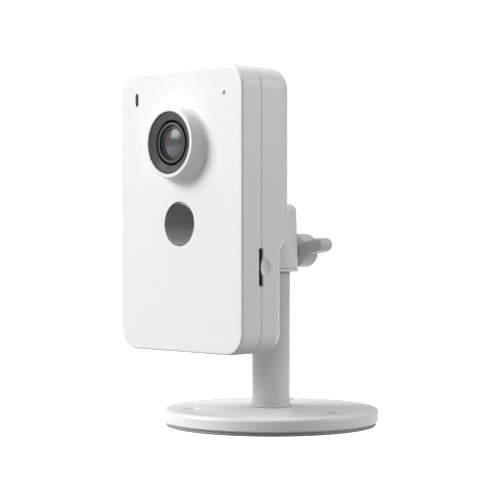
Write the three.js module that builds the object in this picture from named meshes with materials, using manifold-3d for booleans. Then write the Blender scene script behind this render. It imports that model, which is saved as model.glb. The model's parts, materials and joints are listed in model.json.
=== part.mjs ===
// Desktop security camera: an upright body on a ball joint, carried by a pole on a round base.
// Millimetres, +Z up, the lens looks along -Y, the origin is the centre of the foot pad's underside.
import * as THREE from "three";
import { mergeVertices } from "three/addons/utils/BufferGeometryUtils.js";
import Module from "manifold-3d";

// ---------------------------------------------------------------- driving dimensions
// camera body
const BODY_WIDTH = 60.7;
const BODY_HEIGHT = 94.6;
const BODY_DEPTH = 23.2;
const CORNER_RADIUS = 7.5;
const FRONT_EDGE = 0.9;
const REAR_EDGE = 4.4;
const WALL = 2.0;
const SEAM_DEPTH = 8.8;
const SEAM_GAP = 0.3;
const LIP_LENGTH = 1.4;
const LIP_WALL = 0.9;
const RECESS_DEPTH = 3.6;
const RECESS_HEIGHT = 35.0;
const RECESS_SLOPE = 3.2;
// lens
const LENS_DROP = 24.7;
const LENS_OPENING = 10.45;
const COLLAR_WALL = 1.35;
const COLLAR_HEIGHT = 4.9;
const COLLAR_FLARE = 2.4;
const BARREL_RADIUS = 6.9;
const BARREL_WALL = 1.6;
const BARREL_LENGTH = 11.2;
const BARREL_SETBACK = 0.9;
const THREAD_RADIUS = 5.9;
const GLASS_THICKNESS = 1.6;
const BAFFLE_STEPS = 3;
const BAFFLE_FALL = 1.4;
const FILTER_HALF_HEIGHT = 3.4;
const FILTER_HALF_WIDTH = 2.6;
const FILTER_THICKNESS = 0.8;
const FILTER_CLEAR_HOLE = 1.9;
const FILTER_TRAVEL = 5.0;
// infrared window, status light, microphone
const WINDOW_RADIUS = 7.36;
const WINDOW_DROP = 51.7;
const LIGHT_WIDTH = 1.6;
const LIGHT_HEIGHT = 4.5;
const SIGNAL_INSET = 8.55;
const SIGNAL_DROP = 9.1;
const MIC_HOLE = 0.7;
// case screws
const CASE_SCREW_INSET = 7.35;
const CASE_SCREW_TOP_DROP = 16.1;
const CASE_SCREW_FOOT_RISE = 8.0;
const SCREW_SHANK = 1.2;
const SCREW_HEAD = 2.4;
const SCREW_HEAD_HEIGHT = 1.5;
const SCREW_SINK = 1.9;
const SCREW_TIP = 5.2;
const SCREW_POST = 2.8;
const CROSS_REACH = 0.62;
const CROSS_HALF = 0.28;
const BOARD_SCREW_SHANK = 0.8;
const BOARD_SCREW_HEAD = 1.6;
const BOARD_POST = 2.3;
// boards and what is on them
const BOARD_THICKNESS = 1.2;
const BOARD_FRONT = 10.1;
const SLOT_LENGTH = 12.4;
const SLOT_WIDTH = 2.0;
const SLOT_RISE = 28.7;
const SLOT_AHEAD = 1.25;
const SCOOP_RADIUS = 5.2;
const SCOOP_DEPTH = 1.1;
const CARD_SOCKET_DEPTH = 15.0;
const SPEAKER_RADIUS = 9.0;
const SPEAKER_HEIGHT = 3.6;
const SPEAKER_RISE = 26.0;
const GRILLE_PITCH = 2.6;
const GRILLE_SLOT = 1.2;
const GRILLE_LENGTH = 13.0;
const GRILLE_TAPER = 2.4;
const PORT_WIDTH = 7.8;
const PORT_HEIGHT = 3.0;
const PORT_RISE = 11.5;
const BUTTON_RADIUS = 1.5;
const BUTTON_OFFSET = 12.0;
const BUTTON_TRAVEL = 0.4;
const BUTTON_FLANGE = 0.8;
// ball joint
const BALL_RADIUS = 4.5;
const NECK_RADIUS = 2.0;
const TILT_UP = 35;
const TILT_DOWN = 15;
const STEM_REACH = 14.9;
const MOUNT_DROP = 13.6;
const BOSS_RADIUS = 6.5;
const BOSS_LENGTH = 1.6;
const INSERT_LENGTH = 7.4;
const INSERT_WALL = 1.0;
const STUD_THREAD = 2.95;
const LOCK_RING_HEIGHT = 2.5;
// head
const SOCKET_WALL = 4.55;
const SOCKET_FORWARD = 5.2;
const JOINT_HEIGHT = 61.2;
const HEAD_ABOVE_JOINT = 16.4;
const HEAD_EDGE = 2.5;
const HEAD_PLATE = 1.1;
const HEAD_RIM = 0.5;
const SWIVEL_DISC = 0.75;
const SWIVEL_FLOOR = 0.6;
const DISC_RADIUS = 5.4;
const SPIGOT_RADIUS = 3.2;
const SWIVEL_SCREW = 1.0;
const HEAD_SCREW = 0.8;
// clamp knob
const CLAMP_SCREW_RADIUS = 1.8;
const KNOB_RADIUS = 6.0;
const KNOB_LENGTH = 8.9;
const WING_SPAN = 13.2;
const WING_THICKNESS = 4.9;
const WING_ANGLE = 11;
const PLUG_LENGTH = 2.4;
const CLIP_THICKNESS = 0.6;
const CLAMP_TRAVEL = 0.6;
// stand
const BASE_RADIUS = 37.85;
const BASE_TOP = 6.1;
const BASE_WALL = 2.0;
const BASE_EDGE = 1.3;
const BASE_CROWN = 0.35;
const PAD_THICKNESS = 1.2;
const POLE_RADIUS = 6.72;
const POLE_WALL = 1.9;
const POLE_FLARE = 0.8;
const WALL_HOLE_CIRCLE = 29.0;
const WALL_HOLE_RADIUS = 2.0;
const WALL_HOLE_SINK = 3.1;
const WEIGHT_THICKNESS = 2.2;
const POLE_SCREW_SHANK = 1.6;
const POLE_SCREW_HEAD = 3.2;
const POLE_SCREW_SINK = 1.2;

// sides of a full turn on large, middling and small round pieces
const FINE = 36;
const ROUND = 20;
const SMALL = 10;

// named clearances
const SEAT = 0.1;      // between pieces that sit on each other
const SLIP = 0.15;     // around pieces that slide or turn in each other
const GAP = 0.3;       // between pieces in a turned group
const OVER = 1.0;      // how far a cutting shape runs past what it cuts

// ---------------------------------------------------------------- derived places
// camera frame: x to the right, y from the front face towards the back, z from the middle of the height
const HALF_WIDTH = BODY_WIDTH / 2;
const TOP = BODY_HEIGHT / 2;
const FOOT = -BODY_HEIGHT / 2;
const LENS_Z = TOP - LENS_DROP;
const WINDOW_Z = TOP - WINDOW_DROP;
const SIGNAL_X = HALF_WIDTH - SIGNAL_INSET;
const SIGNAL_Z = TOP - SIGNAL_DROP;
const SLOT_Z = FOOT + SLOT_RISE;
const PORT_Z = FOOT + PORT_RISE;
const SPEAKER_Z = SPEAKER_RISE;
const MOUNT_Z = -MOUNT_DROP;
const RECESS_BACK = BODY_DEPTH - RECESS_DEPTH;
const BOARD_BACK = BOARD_FRONT + BOARD_THICKNESS;
const SCREW_X = HALF_WIDTH - CASE_SCREW_INSET;
const SCREW_BOSS = SCREW_HEAD + 1.2;
const CASE_SCREWS = [
  { x: -SCREW_X, z: FOOT + CASE_SCREW_FOOT_RISE, back: RECESS_BACK },
  { x: SCREW_X, z: FOOT + CASE_SCREW_FOOT_RISE, back: RECESS_BACK },
  { x: -SCREW_X, z: TOP - CASE_SCREW_TOP_DROP, back: BODY_DEPTH },
  { x: SCREW_X, z: TOP - CASE_SCREW_TOP_DROP, back: BODY_DEPTH },
];
const BOARD_POSTS = [
  { x: -SCREW_X + 9, z: PORT_Z },
  { x: SCREW_X - 2, z: MOUNT_Z + 20 },
];
// head frame: origin on the pole's axis at the height of the ball
const HEAD_RADIUS = BALL_RADIUS + SLIP + SOCKET_WALL;
const BORE_RADIUS = BALL_RADIUS + SLIP;
const DISC_TOP = -BORE_RADIUS - SWIVEL_FLOOR - SEAT;
const DISC_BOTTOM = DISC_TOP - SWIVEL_DISC;
const PLATE_TOP = DISC_BOTTOM - SEAT;
const PLATE_BOTTOM = PLATE_TOP - HEAD_PLATE;
const POLE_TOP = JOINT_HEIGHT + PLATE_BOTTOM - SEAT;
const BASE_BOTTOM = PAD_THICKNESS + SEAT;

// ---------------------------------------------------------------- solids and meshes
const wasm = await Module();
wasm.setup();

function toSolid(geometry) {
  geometry.deleteAttribute("normal");
  geometry.deleteAttribute("uv");
  const merged = mergeVertices(geometry);
  const corners = merged.index.array;
  const triVerts = [];
  for (let i = 0; i < corners.length; i += 3) {
    const [a, b, c] = corners.slice(i, i + 3);
    if (a !== b && b !== c && c !== a) triVerts.push(a, b, c);
  }
  return new wasm.Manifold(new wasm.Mesh({
    numProp: 3,
    vertProperties: new Float32Array(merged.attributes.position.array),
    triVerts: new Uint32Array(triVerts),
  }));
}

function toGeometry(solid) {
  const mesh = solid.getMesh();
  const geometry = new THREE.BufferGeometry();
  geometry.setAttribute("position", new THREE.BufferAttribute(mesh.vertProperties, mesh.numProp));
  geometry.setIndex(new THREE.BufferAttribute(mesh.triVerts, 1));
  geometry.computeVertexNormals();
  return geometry;
}

function join(...solids) {
  return solids.reduce((whole, solid) => whole.add(solid));
}

function cut(solid, ...tools) {
  return tools.reduce((whole, tool) => whole.subtract(tool), solid);
}

function block(x0, x1, y0, y1, z0, z1) {
  const box = new THREE.BoxGeometry(x1 - x0, y1 - y0, z1 - z0);
  return toSolid(box.translate((x0 + x1) / 2, (y0 + y1) / 2, (z0 + z1) / 2));
}

// a round rod along Y
function rod(radius, y0, y1, x = 0, z = 0, sides = ROUND) {
  const geometry = new THREE.CylinderGeometry(radius, radius, y1 - y0, sides);
  return toSolid(geometry.translate(x, (y0 + y1) / 2, z));
}

// a round rod along Z
function post(radius, z0, z1, x = 0, y = 0, sides = ROUND) {
  const geometry = new THREE.CylinderGeometry(radius, radius, z1 - z0, sides);
  return toSolid(geometry.rotateX(Math.PI / 2).translate(x, y, (z0 + z1) / 2));
}

function ball(radius, x, y, z, sides = 20) {
  return toSolid(new THREE.SphereGeometry(radius, sides, sides / 2).translate(x, y, z));
}

// a turned profile of [radius, height] points, anticlockwise with the radius to the right;
// one that doesn't start on the axis is a ring and closes on itself
function turned(points, sides) {
  const ring = points[0][0] > 0 ? [...points, points[0]] : points;
  return new THREE.LatheGeometry(ring.map(([radius, y]) => new THREE.Vector2(radius, y)), sides);
}

// a turned piece about Y: points are [radius, y]
function turnedY(points, sides = ROUND) {
  return toSolid(turned(points, sides));
}

// a turned piece about Z: points are [radius, z]
function turnedZ(points, sides = ROUND) {
  return toSolid(turned(points, sides).rotateX(Math.PI / 2));
}

// points of an arc in a turned profile, angles in degrees
function arc(cx, cy, radius, from, to, steps = 3) {
  const points = [];
  for (let i = 0; i <= steps; i += 1) {
    const angle = THREE.MathUtils.degToRad(from + ((to - from) * i) / steps);
    points.push([cx + radius * Math.cos(angle), cy + radius * Math.sin(angle)]);
  }
  return points;
}

function roundedOutline(width, height, radius) {
  const shape = new THREE.Shape();
  const w = width / 2;
  const h = height / 2;
  shape.moveTo(-w + radius, -h);
  shape.lineTo(w - radius, -h);
  shape.absarc(w - radius, -h + radius, radius, -Math.PI / 2, 0);
  shape.lineTo(w, h - radius);
  shape.absarc(w - radius, h - radius, radius, 0, Math.PI / 2);
  shape.lineTo(-w + radius, h);
  shape.absarc(-w + radius, h - radius, radius, Math.PI / 2, Math.PI);
  shape.lineTo(-w, -h + radius);
  shape.absarc(-w + radius, -h + radius, radius, Math.PI, Math.PI * 1.5);
  return shape;
}

// a plate with a rounded outline seen from the front, from y0 to y1, square edges
function plate(width, height, radius, y0, y1, x = 0, z = 0, curveSegments = 4) {
  const options = { depth: y1 - y0, bevelEnabled: false, curveSegments };
  const geometry = new THREE.ExtrudeGeometry(roundedOutline(width, height, radius), options);
  return toSolid(geometry.rotateX(Math.PI / 2).translate(x, y1, z));
}

// a plate with fully rounded ends
function slotPlate(width, height, y0, y1, x, z) {
  const radius = Math.min(width, height) / 2 - 0.01;
  return plate(width, height, radius, y0, y1, x, z, 3);
}

// the same plate with its edges at both faces rounded over
function softPlate(width, height, radius, edge, y0, y1, steps) {
  const geometry = new THREE.ExtrudeGeometry(roundedOutline(width, height, radius), {
    depth: y1 - y0 - 2 * edge,
    bevelEnabled: true,
    bevelThickness: edge,
    bevelSize: edge,
    bevelOffset: -edge,
    bevelSegments: steps,
    curveSegments: 4,
  });
  return toSolid(geometry.rotateX(Math.PI / 2).translate(0, y1 - edge, 0));
}

// a wedge with a constant outline in the YZ plane, from x0 to x1; points are [y, z]
function wedge(points, x0, x1) {
  const shape = new THREE.Shape(points.map(([y, z]) => new THREE.Vector2(y, z)));
  const geometry = new THREE.ExtrudeGeometry(shape, { depth: x1 - x0, bevelEnabled: false });
  return toSolid(geometry.rotateX(Math.PI / 2).rotateZ(Math.PI / 2).translate(x0, 0, 0));
}

function piece(name, solid, material) {
  const mesh = new THREE.Mesh(toGeometry(solid), material);
  mesh.name = name;
  return mesh;
}

// ---------------------------------------------------------------- materials
function finish(color, roughness, metalness = 0) {
  return new THREE.MeshStandardMaterial({ color, roughness, metalness });
}

const whitePlastic = finish(0xf4f4f2, 0.42);
const blackPlastic = finish(0x1b1b1d, 0.5);
const smokedPlastic = finish(0x3c3c40, 0.2);
const lensGlass = finish(0x4a4d55, 0.05);
const steel = finish(0xb9bbbe, 0.3, 1);
const brass = finish(0xc9a65a, 0.35, 1);
const rubber = finish(0x5a5a5c, 0.85);
const boardGreen = finish(0x1f5a3a, 0.6);
const boardPart = finish(0x2a2a2c, 0.55);
const copperFoil = finish(0xb87333, 0.4, 1);
const aluminium = finish(0xc8cacc, 0.4, 1);

// ---------------------------------------------------------------- stand
function footPad() {
  const radius = BASE_RADIUS - 0.9;
  let pad = turnedZ([[0, 0], [radius, 0], [radius, PAD_THICKNESS], [0, PAD_THICKNESS]]);
  for (const [x, y] of wallHoles()) {
    pad = cut(pad, post(WALL_HOLE_SINK, -OVER, PAD_THICKNESS + OVER, x, y, SMALL));
  }
  return pad;
}

function wallHoles() {
  return [0, 120, 240].map((degrees) => {
    const angle = THREE.MathUtils.degToRad(degrees);
    return [WALL_HOLE_CIRCLE * Math.cos(angle), WALL_HOLE_CIRCLE * Math.sin(angle)];
  });
}

const HOLE_POST = WALL_HOLE_SINK + 1.3;
const PLATE_UNDER = BASE_TOP - BASE_WALL;
const TENON_RADIUS = POLE_RADIUS - 1.0;

function baseDisc() {
  const outer = BASE_RADIUS;
  const cavity = outer - BASE_WALL;
  const bore = TENON_RADIUS + SEAT;
  let disc = turnedZ([
    [bore, PLATE_UNDER],
    [cavity - 1, PLATE_UNDER],
    [cavity, PLATE_UNDER - 1],
    [cavity, BASE_BOTTOM],
    [outer - 0.5, BASE_BOTTOM],
    [outer, BASE_BOTTOM + 0.5],
    ...arc(outer - BASE_EDGE, BASE_TOP - BASE_EDGE, BASE_EDGE, 0, 80),
    [bore, BASE_TOP + BASE_CROWN],
  ], FINE);
  for (const [x, y] of wallHoles()) {
    disc = join(disc, post(HOLE_POST, BASE_BOTTOM, PLATE_UNDER + 0.5, x, y, SMALL));
    disc = cut(disc, post(WALL_HOLE_RADIUS, 0, BASE_TOP + OVER, x, y, SMALL));
    const sink = new THREE.CylinderGeometry(WALL_HOLE_SINK, WALL_HOLE_RADIUS, 1.6, SMALL);
    disc = cut(disc, toSolid(sink.rotateX(Math.PI / 2).translate(x, y, BASE_TOP - 0.5)));
  }
  return disc;
}

const WEIGHT_TOP = PLATE_UNDER - SEAT;
const WEIGHT_BOTTOM = WEIGHT_TOP - WEIGHT_THICKNESS;
const TENON_BOTTOM = WEIGHT_TOP - 0.6;

function baseWeight() {
  const radius = WALL_HOLE_CIRCLE - HOLE_POST - GAP;
  const screw = POLE_SCREW_SHANK + SLIP;
  const head = POLE_SCREW_HEAD + SLIP;
  const seat = WEIGHT_BOTTOM + POLE_SCREW_SINK;
  const tenon = TENON_RADIUS + SLIP;
  return turnedZ([
    [screw, TENON_BOTTOM - SEAT],
    [screw, seat],
    [head, seat],
    [head, WEIGHT_BOTTOM],
    [radius, WEIGHT_BOTTOM],
    [radius, WEIGHT_TOP],
    [tenon, WEIGHT_TOP],
    [tenon, TENON_BOTTOM - SEAT],
  ], 32);
}

function pole() {
  const foot = BASE_TOP + BASE_CROWN + SEAT;
  const bore = POLE_RADIUS - POLE_WALL;
  const ceiling = POLE_TOP - 9;
  const shoulder = POLE_TOP;
  const spigotTop = JOINT_HEIGHT + DISC_BOTTOM - SEAT / 2;
  const shell = turnedZ([
    [0, TENON_BOTTOM],
    [TENON_RADIUS, TENON_BOTTOM],
    [TENON_RADIUS, foot],
    [POLE_RADIUS + POLE_FLARE, foot],
    ...arc(POLE_RADIUS + POLE_FLARE, foot + 0.3 + POLE_FLARE, POLE_FLARE, 270, 180, 4),
    [POLE_RADIUS, shoulder - 0.4],
    [POLE_RADIUS - 0.4, shoulder],
    [SPIGOT_RADIUS, shoulder],
    [SPIGOT_RADIUS, spigotTop],
    [0, spigotTop],
  ], 32);
  const core = 2.6;
  const hollow = turnedZ([
    [core, TENON_BOTTOM - OVER],
    [bore, TENON_BOTTOM - OVER],
    [bore, ceiling],
    [core, ceiling],
  ], ROUND);
  const footScrew = post(POLE_SCREW_SHANK + SLIP, 0, TENON_BOTTOM + 12, 0, 0, SMALL);
  const headScrew = post(SWIVEL_SCREW + SLIP, POLE_TOP - 7.5, POLE_TOP + 9, 0, 0, SMALL);
  return cut(shell, hollow, footScrew, headScrew);
}

function poleScrew() {
  const seat = WEIGHT_BOTTOM + POLE_SCREW_SINK - SEAT;
  const under = seat - POLE_SCREW_SINK + 2 * SEAT;
  const shank = POLE_SCREW_SHANK;
  const head = POLE_SCREW_HEAD;
  const screw = turnedZ([
    [0, under],
    [head - 0.4, under],
    [head, under + 0.4],
    [head, seat],
    [shank, seat],
    [shank, TENON_BOTTOM + 10.5],
    [0, TENON_BOTTOM + 11.5],
  ], SMALL + 2);
  return cut(screw, crossRecess(head, under - OVER, seat - 0.4));
}

// a cross recess along Z for a screwdriver
function crossRecess(head, z0, z1) {
  const reach = head * CROSS_REACH;
  const half = CROSS_HALF;
  return join(block(-reach, reach, -half, half, z0, z1), block(-half, half, -reach, reach, z0, z1));
}

function swivelDisc() {
  const bottom = JOINT_HEIGHT + DISC_BOTTOM;
  const top = JOINT_HEIGHT + DISC_TOP - SEAT;
  return turnedZ([
    [SWIVEL_SCREW + SLIP, bottom],
    [DISC_RADIUS, bottom],
    [DISC_RADIUS, top],
    [SWIVEL_SCREW + SLIP + (top - bottom), top],
  ], ROUND);
}

function swivelScrew() {
  const bottom = JOINT_HEIGHT + DISC_BOTTOM;
  const top = JOINT_HEIGHT + DISC_TOP - SEAT;
  return turnedZ([
    [0, POLE_TOP - 7],
    [SWIVEL_SCREW, POLE_TOP - 6],
    [SWIVEL_SCREW, bottom],
    [SWIVEL_SCREW + (top - bottom) - 0.05, top - 0.05],
    [0, top - 0.05],
  ], SMALL + 2);
}

function stand() {
  const group = new THREE.Group();
  group.add(
    piece("foot_pad", footPad(), rubber),
    piece("base_disc", baseDisc(), whitePlastic),
    piece("base_weight", baseWeight(), steel),
    piece("pole", pole(), whitePlastic),
    piece("pole_screw", poleScrew(), steel),
    piece("swivel_disc", swivelDisc(), steel),
    piece("swivel_screw", swivelScrew(), steel),
  );
  return group;
}

// ---------------------------------------------------------------- head
const HEAD_SCREW_X = (DISC_RADIUS + HEAD_RADIUS) / 2 + 0.2;

function headPlate() {
  const hole = SPIGOT_RADIUS + SLIP;
  const rim = HEAD_RADIUS + HEAD_RIM;
  const disc = turnedZ([
    [hole, PLATE_BOTTOM],
    [rim - 0.4, PLATE_BOTTOM],
    [rim, PLATE_BOTTOM + 0.4],
    [rim, PLATE_TOP - 0.2],
    [rim - 0.2, PLATE_TOP],
    [hole, PLATE_TOP],
  ], 32);
  return cut(disc, ...[-1, 1].map((side) => (
    post(HEAD_SCREW + SLIP, PLATE_BOTTOM - OVER, PLATE_TOP + OVER, side * HEAD_SCREW_X, 0, 16)
  )));
}

function headScrew(side) {
  const x = side * HEAD_SCREW_X;
  return post(HEAD_SCREW, PLATE_BOTTOM + 0.1, PLATE_TOP + 6, x, 0, 16);
}

function headShell() {
  const bottom = PLATE_TOP + SEAT;
  const top = HEAD_ABOVE_JOINT;
  const radius = HEAD_RADIUS;
  const barrel = turnedZ([
    [0, bottom],
    [radius + 0.2, bottom],
    [radius + 0.2, bottom + 3],
    ...arc(radius - 0.3 - HEAD_EDGE, top - HEAD_EDGE, HEAD_EDGE, 0, 90, 4),
    [0, top],
  ], 32);
  const discRoom = post(DISC_RADIUS + SLIP * 2, bottom - OVER, DISC_TOP + SEAT, 0, 0, ROUND);
  const socket = ball(BORE_RADIUS, 0, -SOCKET_FORWARD, 0, 24);
  const bore = rod(BORE_RADIUS, -SOCKET_FORWARD, radius + OVER, 0, 0, ROUND);
  const screws = [-1, 1].map((side) => (
    post(HEAD_SCREW + SLIP, bottom - OVER, PLATE_TOP + 6.6, side * HEAD_SCREW_X, 0, 16)
  ));
  return cut(barrel, discRoom, socket, bore, ...stemPath(), lighteningPocket(), ...screws);
}

// the slot that the stud's neck sweeps as the camera tilts
function stemPath() {
  const tools = [];
  for (let tilt = -TILT_UP; tilt <= TILT_DOWN; tilt += 10) {
    const radius = NECK_RADIUS + GAP;
    const neck = new THREE.CylinderGeometry(radius, radius, HEAD_RADIUS * 2, SMALL);
    neck.translate(0, -HEAD_RADIUS, 0);
    neck.rotateX(THREE.MathUtils.degToRad(tilt));
    tools.push(toSolid(neck.translate(0, -SOCKET_FORWARD, 0)));
  }
  return tools;
}

// the pocket above the bore that keeps the walls even, with a vent down into the bore
function lighteningPocket() {
  const floor = BORE_RADIUS + 1.6;
  const ceiling = HEAD_ABOVE_JOINT - 2.2;
  const pocket = post(HEAD_RADIUS - 2.2, floor, ceiling, 0, 0, 32);
  const vent = post(1.5, 0, floor + 0.5, 0, 2, 16);
  return join(pocket, vent);
}

const PLUG_BACK = HEAD_RADIUS - 0.2;

function headPlug() {
  const hole = CLAMP_SCREW_RADIUS + SLIP;
  const radius = BORE_RADIUS - SEAT;
  return turnedY([
    [hole, PLUG_BACK - PLUG_LENGTH],
    [radius, PLUG_BACK - PLUG_LENGTH],
    [radius, PLUG_BACK - 0.5],
    [radius - 0.5, PLUG_BACK],
    [hole, PLUG_BACK],
  ], ROUND);
}

const CLIP_BACK = PLUG_BACK - PLUG_LENGTH - SLIP;
const SHOE_BACK = CLIP_BACK - CLIP_THICKNESS - CLAMP_TRAVEL - 0.2;

function clampShoe() {
  const radius = BORE_RADIUS - SLIP;
  const front = -SOCKET_FORWARD + BALL_RADIUS * 0.55;
  const body = rod(radius, front, SHOE_BACK, 0, 0, ROUND);
  const cup = ball(BALL_RADIUS + SEAT, 0, -SOCKET_FORWARD, 0, 24);
  const thread = rod(CLAMP_SCREW_RADIUS + SLIP, 0.4, SHOE_BACK + OVER, 0, 0, SMALL);
  return cut(body, cup, thread);
}

function clampScrew() {
  return turnedY([
    [0, 1.4],
    [CLAMP_SCREW_RADIUS - 0.5, 1.4],
    [CLAMP_SCREW_RADIUS, 1.9],
    [CLAMP_SCREW_RADIUS, KNOB_FRONT + 6.4],
    [0, KNOB_FRONT + 6.4],
  ], SMALL + 2);
}

const KNOB_FRONT = HEAD_RADIUS + 0.6;

function retainingClip() {
  const inner = CLAMP_SCREW_RADIUS + SEAT;
  return turnedY([
    [inner, CLIP_BACK - CLIP_THICKNESS],
    [BORE_RADIUS - 1.4, CLIP_BACK - CLIP_THICKNESS],
    [BORE_RADIUS - 1.4, CLIP_BACK],
    [inner, CLIP_BACK],
  ], SMALL + 2);
}

function thumbKnob() {
  const back = KNOB_FRONT + KNOB_LENGTH;
  const hub = turnedY([
    [0, KNOB_FRONT],
    [KNOB_RADIUS - 1.6, KNOB_FRONT],
    [KNOB_RADIUS, KNOB_FRONT + 1.6],
    ...arc(KNOB_RADIUS - 1.4, back - 1.4, 1.4, 0, 90, 4),
    [0, back],
  ], ROUND);
  const wing = softPlate(
    2 * WING_SPAN, WING_THICKNESS, WING_THICKNESS / 2 - 0.4, 1.2, KNOB_FRONT + 2.6, back - 0.4, 2,
  );
  const bore = rod(CLAMP_SCREW_RADIUS + SEAT, KNOB_FRONT - OVER, KNOB_FRONT + 6.6, 0, 0, SMALL);
  return cut(join(hub, wing), bore);
}

function head() {
  const group = new THREE.Group();
  group.position.set(0, 0, JOINT_HEIGHT);
  const knob = new THREE.Group();
  knob.rotation.y = -THREE.MathUtils.degToRad(WING_ANGLE);
  knob.add(
    piece("thumb_knob", thumbKnob(), whitePlastic),
    piece("clamp_screw", clampScrew(), steel),
    piece("retaining_clip", retainingClip(), steel),
  );
  group.add(
    piece("head_plate", headPlate(), whitePlastic),
    piece("head_screw_left", headScrew(-1), steel),
    piece("head_screw_right", headScrew(1), steel),
    piece("head_shell", headShell(), whitePlastic),
    piece("head_plug", headPlug(), whitePlastic),
    piece("clamp_shoe", clampShoe(), rubber),
    knob,
  );
  return group;
}

// ---------------------------------------------------------------- ball stud
// frame: origin at the ball's centre
const BOSS_END = STEM_REACH - BOSS_LENGTH;

function ballStud() {
  const joinY = -Math.sqrt(BALL_RADIUS ** 2 - NECK_RADIUS ** 2);
  const threadStart = -BOSS_END + LOCK_RING_HEIGHT + 1.2;
  const tip = -BOSS_END - INSERT_LENGTH + 1.0;
  const start = THREE.MathUtils.radToDeg(Math.asin(joinY / BALL_RADIUS));
  return turnedY([
    [0, tip],
    [STUD_THREAD - 0.6, tip],
    [STUD_THREAD, tip + 0.6],
    [STUD_THREAD, threadStart - 0.8],
    [NECK_RADIUS, threadStart],
    ...arc(0, 0, BALL_RADIUS, start, 85, 9),
    [0, BALL_RADIUS],
  ], ROUND);
}

function lockRing() {
  const inner = STUD_THREAD + SLIP;
  const outer = BOSS_RADIUS - 1.5;
  const back = -BOSS_END + SLIP;
  return turnedY([
    [inner, back],
    [outer - 0.3, back],
    [outer, back + 0.3],
    [outer, back + LOCK_RING_HEIGHT - 0.3],
    [outer - 0.3, back + LOCK_RING_HEIGHT],
    [inner, back + LOCK_RING_HEIGHT],
  ], ROUND);
}

function stud() {
  const group = new THREE.Group();
  group.position.set(0, -SOCKET_FORWARD, JOINT_HEIGHT);
  group.add(piece("ball_stud", ballStud(), steel), piece("lock_ring", lockRing(), whitePlastic));
  return group;
}

// ---------------------------------------------------------------- camera shells
function frontShell() {
  const seam = SEAM_DEPTH - SEAM_GAP / 2;
  const inside = 2 * WALL;
  const slab = softPlate(BODY_WIDTH, BODY_HEIGHT, CORNER_RADIUS, FRONT_EDGE, 0, seam + 5, 2);
  const behind = block(-HALF_WIDTH - OVER, HALF_WIDTH + OVER, seam, seam + 9, FOOT - OVER, TOP + OVER);
  const front = cut(slab, behind);
  const lipSide = inside + 2 * SLIP;
  const lip = plate(
    BODY_WIDTH - lipSide, BODY_HEIGHT - lipSide, CORNER_RADIUS - WALL - SLIP,
    seam - 2.4, seam + SEAM_GAP + LIP_LENGTH,
  );
  const lipInside = lipSide + 2 * LIP_WALL;
  const room = plate(
    BODY_WIDTH - inside, BODY_HEIGHT - inside, CORNER_RADIUS - WALL, WALL, seam - 2.2,
  );
  const mouth = plate(
    BODY_WIDTH - lipInside, BODY_HEIGHT - lipInside, CORNER_RADIUS - WALL - SLIP - LIP_WALL,
    WALL + 0.5, seam + SEAM_GAP + LIP_LENGTH + OVER,
  );
  let shell = cut(join(front, lip), room, mouth);
  shell = join(shell, lensCollar());
  for (const screw of CASE_SCREWS) {
    shell = join(shell, rod(SCREW_POST, WALL - 0.5, BOARD_BACK, screw.x, screw.z, SMALL));
    shell = cut(shell, rod(SCREW_SHANK + SLIP, 3.5, BOARD_BACK + OVER, screw.x, screw.z, SMALL));
  }
  return cut(
    shell,
    rod(LENS_OPENING, -COLLAR_HEIGHT - OVER, WALL + OVER, 0, LENS_Z, FINE),
    rod(WINDOW_RADIUS + SEAT, -OVER, WALL + OVER, 0, WINDOW_Z, FINE),
    slotPlate(LIGHT_WIDTH, LIGHT_HEIGHT, -OVER, WALL + OVER, -SIGNAL_X, SIGNAL_Z),
    rod(MIC_HOLE, -OVER, WALL + OVER, SIGNAL_X, SIGNAL_Z, SMALL),
    cardSlot(),
  );
}

// the raised ring around the lens with a soft flare at its foot
function lensCollar() {
  const outer = LENS_OPENING + COLLAR_WALL;
  const foot = outer + 0.4 + COLLAR_FLARE;
  const points = [
    [0, WALL / 2],
    [foot, WALL / 2],
    [foot, -0.02],
    ...arc(foot, -COLLAR_FLARE, COLLAR_FLARE, 90, 180, 4).slice(1),
    ...arc(outer - 0.5, -COLLAR_HEIGHT + 0.5, 0.5, 0, -90, 3),
    [0, -COLLAR_HEIGHT],
  ];
  return turnedY(points.reverse(), FINE).translate([0, 0, LENS_Z]);
}

// the card slot crosses the seam on the right side; its finger scoop lies in the rear shell
function cardSlot() {
  const front = SEAM_DEPTH - SLOT_AHEAD;
  const half = SLOT_LENGTH / 2;
  const inner = HALF_WIDTH - WALL - LIP_WALL - 1.2;
  return block(inner, HALF_WIDTH + OVER, front, front + SLOT_WIDTH, SLOT_Z - half, SLOT_Z + half);
}

// everything in front of the step on the back, shrunk by the given inset
function aboveStep(inset, back) {
  const low = FOOT + RECESS_HEIGHT + inset;
  const high = low + RECESS_SLOPE;
  const floor = RECESS_BACK - inset;
  return wedge([
    [-20, FOOT - 20],
    [floor, FOOT - 20],
    [floor, low],
    [back, high],
    [back + 20, high],
    [back + 20, TOP + 20],
    [-20, TOP + 20],
  ], -HALF_WIDTH - 20, HALF_WIDTH + 20);
}

function rearOuter() {
  const seam = SEAM_DEPTH + SEAM_GAP / 2;
  const low = softPlate(BODY_WIDTH, BODY_HEIGHT, CORNER_RADIUS, REAR_EDGE, -12, RECESS_BACK, 3);
  const high = softPlate(BODY_WIDTH, BODY_HEIGHT, CORNER_RADIUS, REAR_EDGE, -12, BODY_DEPTH, 3)
    .intersect(aboveStep(0, BODY_DEPTH));
  const ahead = block(-HALF_WIDTH - OVER, HALF_WIDTH + OVER, -20, seam, FOOT - OVER, TOP + OVER);
  return cut(join(low, high), ahead);
}

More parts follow.
